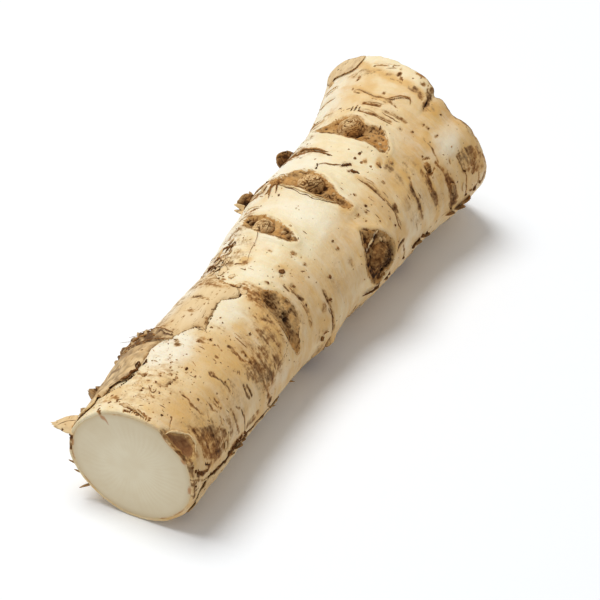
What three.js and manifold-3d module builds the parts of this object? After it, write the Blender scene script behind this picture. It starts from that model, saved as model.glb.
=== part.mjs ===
// A cut length of horseradish root, lying on its side as it would on a board.
// Millimetres, +Z up. The root runs along X: the knife-cut end faces -X, the wider crown end faces +X.
// The origin is on the surface that the root lies on, under the middle of its bounding box.
// A place on the skin is given by `along`, the distance from the cut end, and `turn`, the angle round
// the root in degrees: 0 is the top, 90 is the -Y side and -90 the +Y side.
import * as THREE from "three";
import { mergeVertices } from "three/addons/utils/BufferGeometryUtils.js";
import Module from "manifold-3d";

const rootLength = 208;
const roundSegments = 64;
const lengthSegments = 36;

// Cross-sections: along, sideways place of the middle, radius, height of the underside before it is flattened.
const stations = [
  { along: 0, middleY: 9.2, radius: 23.7, underside: -0.2 },
  { along: 14, middleY: 8.6, radius: 24.7, underside: -0.6 },
  { along: 29, middleY: 8.5, radius: 25.0, underside: -0.7 },
  { along: 43, middleY: 8.7, radius: 24.2, underside: -0.4 },
  { along: 57, middleY: 7.7, radius: 23.7, underside: 0.4 },
  { along: 86, middleY: 6.3, radius: 23.8, underside: 1.2 },
  { along: 115, middleY: 4.2, radius: 26.6, underside: 0.8 },
  { along: 129, middleY: 2.6, radius: 27.6, underside: 0.5 },
  { along: 158, middleY: 0.9, radius: 28.3, underside: 0.2 },
  { along: 172, middleY: -0.2, radius: 30.0, underside: -0.3 },
  { along: 186, middleY: -1.4, radius: 32.6, underside: -0.7 },
  { along: 197, middleY: -1.5, radius: 33.8, underside: -0.8 },
  { along: rootLength, middleY: -1.6, radius: 33.2, underside: -0.6 },
];

// The crown end is one slanting knife cut, set back at the top and on the -Y side.
const crownCut = { along: 201.6, lean: new THREE.Vector3(0.912, -0.288, 0.29) };

// Grooves that run in from the crown end and part its shoulders.
const crownGrooves = [
  { turn: 25, depth: 4.2, halfWidth: 7, reach: 16 },
  { turn: 45, depth: 1.8, halfWidth: 6, reach: 24 },
  { turn: -118, depth: 3.2, halfWidth: 8, reach: 26 },
  { turn: 168, depth: 2.4, halfWidth: 7, reach: 20 },
];

// Dormant buds and rootlet stumps: half-sizes along the root, round it, and out of the skin.
const buds = [
  { along: 101.5, turn: -13, size: [4.2, 4.6, 2.2] },
  { along: 126.5, turn: -7, size: [5.2, 6.2, 2.6] },
  { along: 160, turn: -13, size: [6, 6.2, 2.8] },
  { along: 126, turn: 79, size: [5.6, 6.6, 2.8] },
  { along: 73.5, turn: 48, size: [5, 6, 1.8] },
  { along: 151, turn: -62, size: [4, 4.6, 4.6] },
  { along: 127, turn: -68, size: [3.6, 4, 4.4] },
  { along: 163.5, turn: 54, size: [2.6, 2.4, 1.4] },
  { along: 64, turn: -120, size: [5, 5.6, 2.6] },
  { along: 96, turn: 142, size: [4.8, 5.4, 2.4] },
  { along: 142, turn: -138, size: [5.4, 6, 3] },
  { along: 40, turn: -96, size: [3.6, 3.8, 2.4] },
];

// Smooth values between the stations.
const stationReader = new THREE.CubicInterpolant(
  stations.map((station) => station.along),
  stations.flatMap(({ middleY, radius, underside }) => [middleY, radius, underside]),
  3,
);

function sectionAt(along) {
  const [middleY, radius, underside] = stationReader.evaluate(along);
  return { middleY, radius, middleZ: radius + underside };
}

// How far the skin stands from the middle of its cross-section.
function skinRadius(along, turn) {
  const { radius } = sectionAt(along);
  const angle = THREE.MathUtils.degToRad(turn);
  const unevenness = 0.012 * Math.sin(2 * angle + along / 31) + 0.008 * Math.sin(3 * angle - along / 17);
  let grooved = 0;
  for (const { turn: grooveTurn, depth, halfWidth, reach } of crownGrooves) {
    const sideways = THREE.MathUtils.euclideanModulo(turn - grooveTurn + 180, 360) - 180;
    const inward = THREE.MathUtils.smoothstep(along, rootLength - 12 - reach, rootLength - 6);
    grooved += depth * inward * Math.exp(-((sideways / halfWidth) ** 2));
  }
  return radius * (1 + unevenness) - grooved;
}

function skinPoint(along, turn, share = 1, lift = 0) {
  const { middleY, middleZ } = sectionAt(along);
  const angle = THREE.MathUtils.degToRad(turn);
  const out = share * skinRadius(along, turn) + lift;
  return new THREE.Vector3(
    along - rootLength / 2,
    middleY - out * Math.sin(angle),
    middleZ + out * Math.cos(angle),
  );
}

// A cylinder, capped at both ends, whose points are moved onto the root's surface.
function taprootGeometry() {
  const geometry = new THREE.CylinderGeometry(1, 1, 1, roundSegments, lengthSegments);
  const position = geometry.getAttribute("position");
  for (let i = 0; i < position.count; i++) {
    const x = position.getX(i);
    const z = position.getZ(i);
    const along = (0.5 - position.getY(i)) * rootLength;
    const turn = THREE.MathUtils.radToDeg(Math.atan2(z, x));
    const point = skinPoint(along, turn, Math.hypot(x, z));
    position.setXYZ(i, point.x, point.y, point.z);
  }
  return geometry;
}

// A rounded knob seated in the skin, turned to point straight out of it.
function budGeometry({ along, turn, size }) {
  const geometry = new THREE.SphereGeometry(1, 14, 8);
  const seat = skinPoint(along, turn);
  return geometry
    .scale(...size)
    .rotateX(THREE.MathUtils.degToRad(turn))
    .translate(seat.x, seat.y, seat.z);
}

const wasm = await Module();
wasm.setup();

// A closed three.js geometry as a solid, with its shared vertices merged.
function solidFrom(geometry) {
  const bare = geometry.clone();
  bare.deleteAttribute("normal");
  bare.deleteAttribute("uv");
  const merged = mergeVertices(bare, 1e-4);
  const mesh = new wasm.Mesh({
    numProp: 3,
    vertProperties: new Float32Array(merged.getAttribute("position").array),
    triVerts: new Uint32Array(merged.index.array),
  });
  return new wasm.Manifold(mesh);
}

function geometryFrom(solid) {
  const mesh = solid.getMesh();
  const geometry = new THREE.BufferGeometry();
  geometry.setAttribute("position", new THREE.BufferAttribute(new Float32Array(mesh.vertProperties), 3));
  geometry.setIndex(new THREE.BufferAttribute(new Uint32Array(mesh.triVerts), 1));
  geometry.computeVertexNormals();
  return geometry;
}

// Everything on the far side of a plane, as a block to cut away.
function blockBeyond(point, direction) {
  const size = 2 * rootLength;
  const turned = new THREE.Quaternion().setFromUnitVectors(
    new THREE.Vector3(0, 0, 1),
    direction.clone().normalize(),
  );
  const block = new THREE.BoxGeometry(size, size, size)
    .translate(0, 0, size / 2)
    .applyQuaternion(turned)
    .translate(point.x, point.y, point.z);
  return solidFrom(block);
}

function rootSolid() {
  let solid = solidFrom(taprootGeometry());
  for (const bud of buds) {
    solid = solid.add(solidFrom(budGeometry(bud)));
  }
  const crownMiddle = skinPoint(crownCut.along, 0, 0);
  solid = solid.subtract(blockBeyond(crownMiddle, crownCut.lean));
  const floorBlock = blockBeyond(new THREE.Vector3(0, 0, 0), new THREE.Vector3(0, 0, -1));
  return solid.subtract(floorBlock);
}

const skinMaterial = new THREE.MeshStandardMaterial({ color: 0xe2cda2, roughness: 0.6, metalness: 0 });

const root = new THREE.Mesh(geometryFrom(rootSolid()), skinMaterial);
root.name = "horseradish_root";

const group = new THREE.Group();
group.add(root);

export default group;
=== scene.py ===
import math

import bpy
import numpy as np
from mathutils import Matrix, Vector


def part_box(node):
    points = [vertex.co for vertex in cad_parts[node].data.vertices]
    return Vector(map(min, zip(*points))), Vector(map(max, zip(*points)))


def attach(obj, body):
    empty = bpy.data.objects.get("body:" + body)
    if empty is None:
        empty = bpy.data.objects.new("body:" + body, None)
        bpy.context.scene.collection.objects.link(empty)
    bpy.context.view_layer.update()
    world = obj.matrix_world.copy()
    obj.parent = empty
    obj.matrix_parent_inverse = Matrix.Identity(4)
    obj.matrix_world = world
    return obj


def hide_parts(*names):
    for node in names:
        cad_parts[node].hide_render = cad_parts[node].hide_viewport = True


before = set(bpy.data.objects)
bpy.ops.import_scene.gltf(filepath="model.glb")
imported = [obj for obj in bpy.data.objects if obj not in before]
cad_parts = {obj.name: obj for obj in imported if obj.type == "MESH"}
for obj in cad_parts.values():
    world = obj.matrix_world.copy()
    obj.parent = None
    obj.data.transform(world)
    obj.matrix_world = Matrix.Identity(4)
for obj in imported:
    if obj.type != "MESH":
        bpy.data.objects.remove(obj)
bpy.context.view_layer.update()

# Lengths are in millimetres until a mesh is made. A place on the skin is `along`, the distance from the
# cut end, and `turn`, in degrees round the root: 0 is the top, 90 the -Y side and -90 the +Y side.
mm = 0.001
rootName = "horseradish_root"
underGap = 0.05      # how far the small pieces stay over the surface that the root lies on


latticeSize = 32
lattice = np.random.default_rng(11).random((latticeSize, latticeSize, latticeSize))


# Values from -1 to 1 that change smoothly in space; features are about `size` across.
def roughness3d(place, size, seed=0):
    grid = place / size + np.array([5.3, 3.7, 9.1]) * seed
    cell = np.floor(grid).astype(int)
    part = grid - cell
    part = part * part * (3 - 2 * part)
    total = np.zeros(len(place))
    for corner in range(8):
        offset = np.array([corner & 1, corner >> 1 & 1, corner >> 2 & 1])
        share = np.prod(np.where(offset, part, 1 - part), axis=1)
        i, j, k = ((cell + offset) % latticeSize).T
        total += share * lattice[i, j, k]
    return total * 2 - 1


# Layers of roughness added up, each as height, size and seed.
def layered(place, layers):
    total = 0
    for height, size, seed in layers:
        total = total + height * roughness3d(place, size, seed)
    return total


def smoothStep(value, low, high):
    share = np.clip((value - low) / (high - low), 0, 1)
    return share * share * (3 - 2 * share)


# The difference between two turns, by the shorter way round.
def wrapTurn(turn):
    return (turn + 180) % 360 - 180


# The root's form, read from the CAD solid.
formSettings = {
    "sections": 15,            # cross-sections measured along the solid
    "lastSection": 196.0,      # beyond this the slanted cut has taken too much of the ring
    "window": 3.2,             # how much of the length one cross-section gathers
    "bumpLimit": 0.9,          # points further than this off the circle are buds
    "crownCutAlong": 201.6,    # where the slanted cut crosses the middle line
    "crownCutLean": (0.912, -0.288, 0.29),
    # grooves that part the crown's shoulders: turn, depth, half width in degrees, reach
    "crownGrooves": [(25, 4.2, 7, 16), (45, 1.8, 6, 24), (-118, 3.2, 8, 26), (168, 2.4, 7, 20)],
}

solidPoints = np.array([vertex.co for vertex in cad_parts[rootName].data.vertices]) / mm
solidPoints = np.unique(solidPoints.round(3), axis=0)
lowCorner, highCorner = (np.array(corner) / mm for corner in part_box(rootName))
startX, floorZ = lowCorner[0], lowCorner[2]
rootLength = highCorner[0] - lowCorner[0]


# The circle that fits the solid best at one place: middle y, middle z, radius.
def measureSection(along):
    near = solidPoints[np.abs(solidPoints[:, 0] - startX - along) < formSettings["window"]]
    near = near[near[:, 2] > floorZ + 0.05]
    for _ in range(3):
        terms = np.column_stack([2 * near[:, 1:], np.ones(len(near))])
        squares = (near[:, 1:] ** 2).sum(axis=1)
        middleY, middleZ, rest = np.linalg.lstsq(terms, squares, rcond=None)[0]
        radius = math.sqrt(rest + middleY ** 2 + middleZ ** 2)
        off = np.abs(np.hypot(near[:, 1] - middleY, near[:, 2] - middleZ) - radius)
        near = near[off < formSettings["bumpLimit"]]
    return middleY, middleZ, radius


sectionKnots = np.linspace(0, formSettings["lastSection"], formSettings["sections"])
sectionTable = np.array([measureSection(along) for along in sectionKnots])
sectionKnots = np.append(sectionKnots, rootLength)
sectionTable = np.vstack([sectionTable, sectionTable[-1]])
sectionSlopes = np.gradient(sectionTable, sectionKnots, axis=0)


# Middle y, middle z and radius at any distance along, smooth between the measured sections.
def sectionAt(along):
    along = np.clip(along, 0, rootLength)
    index = np.clip(np.searchsorted(sectionKnots, along) - 1, 0, len(sectionKnots) - 2)
    width = (sectionKnots[index + 1] - sectionKnots[index])[:, None]
    share = (along - sectionKnots[index])[:, None] / width
    bend = share * share * (3 - 2 * share)
    leave = share * (1 - share) ** 2 * width
    arrive = share * share * (share - 1) * width
    values = sectionTable[index] * (1 - bend) + sectionTable[index + 1] * bend
    values = values + sectionSlopes[index] * leave + sectionSlopes[index + 1] * arrive
    return values.T


# How long one degree of turn is on the skin.
def degreeLength(along):
    return np.radians(sectionAt(np.atleast_1d(np.asarray(along, float)))[2])


# Keeps points at least `gap` over the surface that the root lies on.
def aboveFloor(points, gap=0.0):
    points[:, 2] = np.maximum(points[:, 2], floorZ + gap)
    return points


def skinRadius(along, turn):
    radius = sectionAt(along)[2]
    angle = np.radians(turn)
    uneven = 0.012 * np.sin(2 * angle + along / 31) + 0.008 * np.sin(3 * angle - along / 17)
    grooved = np.zeros(len(along))
    for grooveTurn, depth, halfWidth, reach in formSettings["crownGrooves"]:
        inward = smoothStep(along, rootLength - 12 - reach, rootLength - 6)
        grooved += depth * inward * np.exp(-(wrapTurn(turn - grooveTurn) / halfWidth) ** 2)
    return radius * (1 + uneven) - grooved


# The distance to a line drawn on the skin, in millimetres along the skin.
def lineDistance(along, turn, line):
    perDegree = degreeLength(along)
    nearest = np.full(len(along), 99.0)
    for (fromAlong, fromTurn), (toAlong, toTurn) in zip(line, line[1:]):
        across = along - fromAlong
        around = wrapTurn(turn - fromTurn) * perDegree
        runAcross = toAlong - fromAlong
        runAround = wrapTurn(toTurn - fromTurn) * perDegree
        share = (across * runAcross + around * runAround) / (runAcross ** 2 + runAround ** 2 + 1e-9)
        share = np.clip(share, 0, 1)
        nearest = np.minimum(nearest, np.hypot(across - share * runAcross, around - share * runAround))
    return nearest


# How deep a place lies inside an outline; negative outside it.
def outlineDepth(along, turn, outline):
    loop = outline + outline[:1]
    middleTurn = sum(point[1] for point in outline) / len(outline)
    local = wrapTurn(turn - middleTurn)
    inside = np.zeros(len(along), bool)
    for (fromAlong, fromTurn), (toAlong, toTurn) in zip(loop, loop[1:]):
        fromLocal, toLocal = fromTurn - middleTurn, toTurn - middleTurn
        crosses = (fromLocal > local) != (toLocal > local)
        slope = (toAlong - fromAlong) / ((toLocal - fromLocal) or 1.0)
        inside ^= crosses & (along < fromAlong + (local - fromLocal) * slope)
    distance = lineDistance(along, turn, loop)
    return np.where(inside, distance, -distance)


# A pointed oval lying round the root.
def lensOutline(along, turn, halfWidth, halfTurn, lean=0.0):
    points = []
    for step in range(18):
        angle = 2 * math.pi * step / 18
        around = math.sin(angle)
        across = math.cos(angle) * (1 - 0.4 * abs(around))
        points.append((along + halfWidth * across + lean * around, turn + halfTurn * around))
    return points


eyeSettings = {
    "sink": 1.3,         # how far an eye is sunk
    "wall": 2.2,         # over what distance its edge falls
    "swelling": 0.9,     # how far the skin stands up around it
    "lip": 0.32,         # a narrow raised lip along the edge
    "under": 1.8,        # the body lies this much lower under an eye's own mesh
    "shallow": {"e": 0.45, "k": 0.8},    # these are sunk less: their share of `sink`
    "smooth": {"k": 0.1, "d": 0.8, "e": 0.85},    # these are crumpled less
    "even": {"k": 0.8},                # these are one even brown: how much
    # a pale frayed ridge across the floor
    "tufts": {"d": [(124, 57.5), (122.5, 61.2), (120.6, 62.6), (118.2, 65)]},
    # small deep holes, painted dark as shade: along, turn, radius, depth
    "pits": [(124.8, 93, 1.2, 1.5), (128.2, 79, 1.0, 0.9), (127.6, 86, 0.9, 0.8), (74.4, 49.4, 1.2, 2.4),
             (75.2, 47.6, 0.6, 1.2), (73, 52.4, 0.7, 1.2), (101.0, 12, 0.5, 0.6), (122.5, 26, 0.7, 0.8),
             (70, 79, 0.7, 0.6), (162, 13.6, 0.5, 0.6), (155, 23.5, 0.8, 0.6), (105, -33, 0.5, 0.5)],
    # darker and lighter places in the eyes, partly their own colour, partly painted shade under the knobs
    # and in crevices, and partly painted highlight: along, turn, radius, amount
    "shades": [
        (154.6, 22.5, 1.6, 0.8), (157.5, 13.5, 1.2, 0.5), (162.4, 10.8, 0.9, 0.95), (160, 14, 0.8, 0.7),
        (158, -30, 2.4, 0.35), (155.4, 6.5, 1.0, 0.8), (154.8, -3, 1.2, 0.7), (157, 19.5, 0.7, 0.8),
        (159.4, 9, 0.7, 0.6), (161, 5.5, 0.8, 0.6), (163.6, -21, 1.4, 0.4), (154.6, -7, 1.4, 0.5),
        (155, 0, 1.0, 0.4), (159, 17.5, 0.9, -0.5), (157.8, 4, 1.0, -0.4), (124.5, 10, 1.6, 0.35),
        (122.5, 26, 1.3, 0.7), (122.6, 31.6, 1.2, 0.8), (124, -30, 2.4, 0.3), (121, -9, 1.5, 0.8),
        (120.8, -2, 1.5, 0.9), (121.4, 5, 1.2, 0.6), (124, 18, 1.2, 0.3), (129, -20, 1.6, 0.3),
        (122, 16, 1.2, -0.4), (100.5, 11.5, 1.4, 0.7), (101.4, 5.5, 1.3, 0.55), (103, -37, 1.6, 0.35),
        (98.8, -14, 1.2, 0.6), (98.8, -6, 1.2, 0.6), (99.3, 15, 0.8, 0.6), (103.6, -30, 1.2, 0.4),
        (105, -25, 1.4, -0.3), (118, 58, 1.8, 0.4), (117, 75, 1.6, 0.5), (126, 62, 1.4, 0.3),
        (117.5, 88, 2.2, 0.5), (128.4, 78, 2.0, 1.2), (127.4, 87, 2.0, 1.2), (124.6, 93, 1.6, 1.2),
        (125.6, 66.5, 1.2, -0.9), (128, 69, 1.1, -0.9), (123.4, 64.4, 0.9, -0.7), (120.5, 96, 1.4, -0.5),
        (124, 60, 1.0, 0.5), (75.4, 29.5, 2.4, 0.75), (72.6, 31.5, 1.8, 0.7), (73, 37, 1.6, 0.6),
        (74.4, 50, 1.6, 1.0), (71.5, 55, 2.2, 0.9), (71, 64, 2.0, 0.9), (72.3, 79.5, 1.0, 0.95),
        (72, 84, 0.8, 0.95), (76.6, 55, 1.5, -0.6), (77, 45, 1.6, -0.6), (77.4, 63, 1.3, 0.5),
        (0.6, 32, 1.2, 0.6), (78.4, 50, 0.8, 0.5),
    ],
    "outlines": {
        "a": [(106, -40), (108, -31.5), (107.2, -20), (106, -9.5), (104.2, -0.5), (102.6, 7.5),
              (99.5, 16.5), (98.2, 13), (97.8, 6), (97.8, -2), (98, -10.5), (99.8, -22.5), (102.2, -36)],
        "b": [(124, -39), (125.8, -34), (127.6, -29), (130.2, -23), (131.6, -17), (132, -10),
              (131.5, -3), (130, 4.5), (128, 11), (125.6, 18), (124.6, 26), (124.2, 32.5), (122.2, 32.5),
              (121.6, 27), (121.2, 21), (120.8, 13), (120.8, 4), (121.5, -4.5), (122, -12.5),
              (122.4, -22), (122.6, -31)],
        "c": [(157.3, -38.5), (158.4, -31), (161, -25), (163.8, -21), (165.4, -15), (165.2, -8),
              (163.6, -2), (162.6, 3), (163.4, 9), (163, 14), (160.4, 19), (157.2, 24.6), (154.6, 25.8),
              (153.2, 21), (154, 16), (154.2, 9), (153.6, 1.5), (153.8, -6), (154.4, -14), (155.2, -26)],
        "d": [(119.6, 48), (123, 54), (126, 59), (128.2, 64.5), (130.2, 72), (130.6, 80), (129.6, 85.5),
              (127.6, 91), (125.4, 97), (121.4, 100), (117.2, 92), (115.2, 82), (115.2, 73), (116.4, 64),
              (117.8, 55)],
        "e": [(75.5, 22), (78.5, 31), (79.2, 41), (79.6, 50), (79, 59), (77, 66), (74.6, 72), (73.4, 79),
              (72.6, 85), (71, 85.5), (69.6, 76), (68.8, 67.5), (68.8, 57.5), (68.8, 49.5), (69.4, 41),
              (69.8, 32), (71, 24), (73, 19)],
        "k": [(0.4, 29), (2.8, 36.5), (4.8, 43.5), (5.6, 50), (5.4, 55.5), (4.6, 59), (3, 62.5),
              (0.4, 62.5)],
        "f": lensOutline(64, -120, 6.5, 21, 1.5),
        "g": lensOutline(96, 142, 6, 20, -1),
        "h": lensOutline(142, -138, 7, 19, 1),
        "i": lensOutline(40, -96, 4.5, 13, 1),
        "j": lensOutline(158, 150, 6.5, 17, 1),
    },
}

# Leaf scars: along, from turn, to turn, half width, darkness.
scarSettings = {
    "groove": 0.38,
    "swelling": 0.28,
    "rings": [
        (52, 25, 45, 0.35, 0.4), (83.6, 29, 78, 0.45, 0.35), (94.2, 58, 108, 0.5, 0.85),
        (94.5, 108, 150, 0.5, 0.6), (108.2, -50, -30, 0.4, 0.5), (113, -52, -33, 0.45, 0.6),
        (138.4, 20, 74, 0.4, 0.75), (138.7, 22, 48, 0.9, 0.45), (168.5, -60, -36, 0.6, 0.4),
        (168.6, -13, 4, 0.5, 0.75), (172.6, -14, 2, 0.6, 0.75), (170.8, 4, 24, 0.6, 0.7),
        (168.2, 1, 15, 0.5, 0.65), (178.5, -62, -42, 0.5, 0.4), (184, -62, -44, 0.5, 0.35),
        (191, -24, -2, 0.4, 0.25), (146.5, -52, -28, 1.0, 0.7), (126.5, -66, -44, 0.8, 0.7),
        (121.5, -62, -40, 0.5, 0.6), (166, -62, -40, 0.5, 0.35),
    ],
    # rings on the sides that the list leaves out: how many, and near which places along
    "hiddenCount": 46,
    "hiddenPlaces": [9, 22, 31, 40, 51, 60, 71, 83, 94, 103, 113, 121, 131, 138, 145, 149, 155, 161, 167,
                     172, 177, 183, 189],
}

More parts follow.
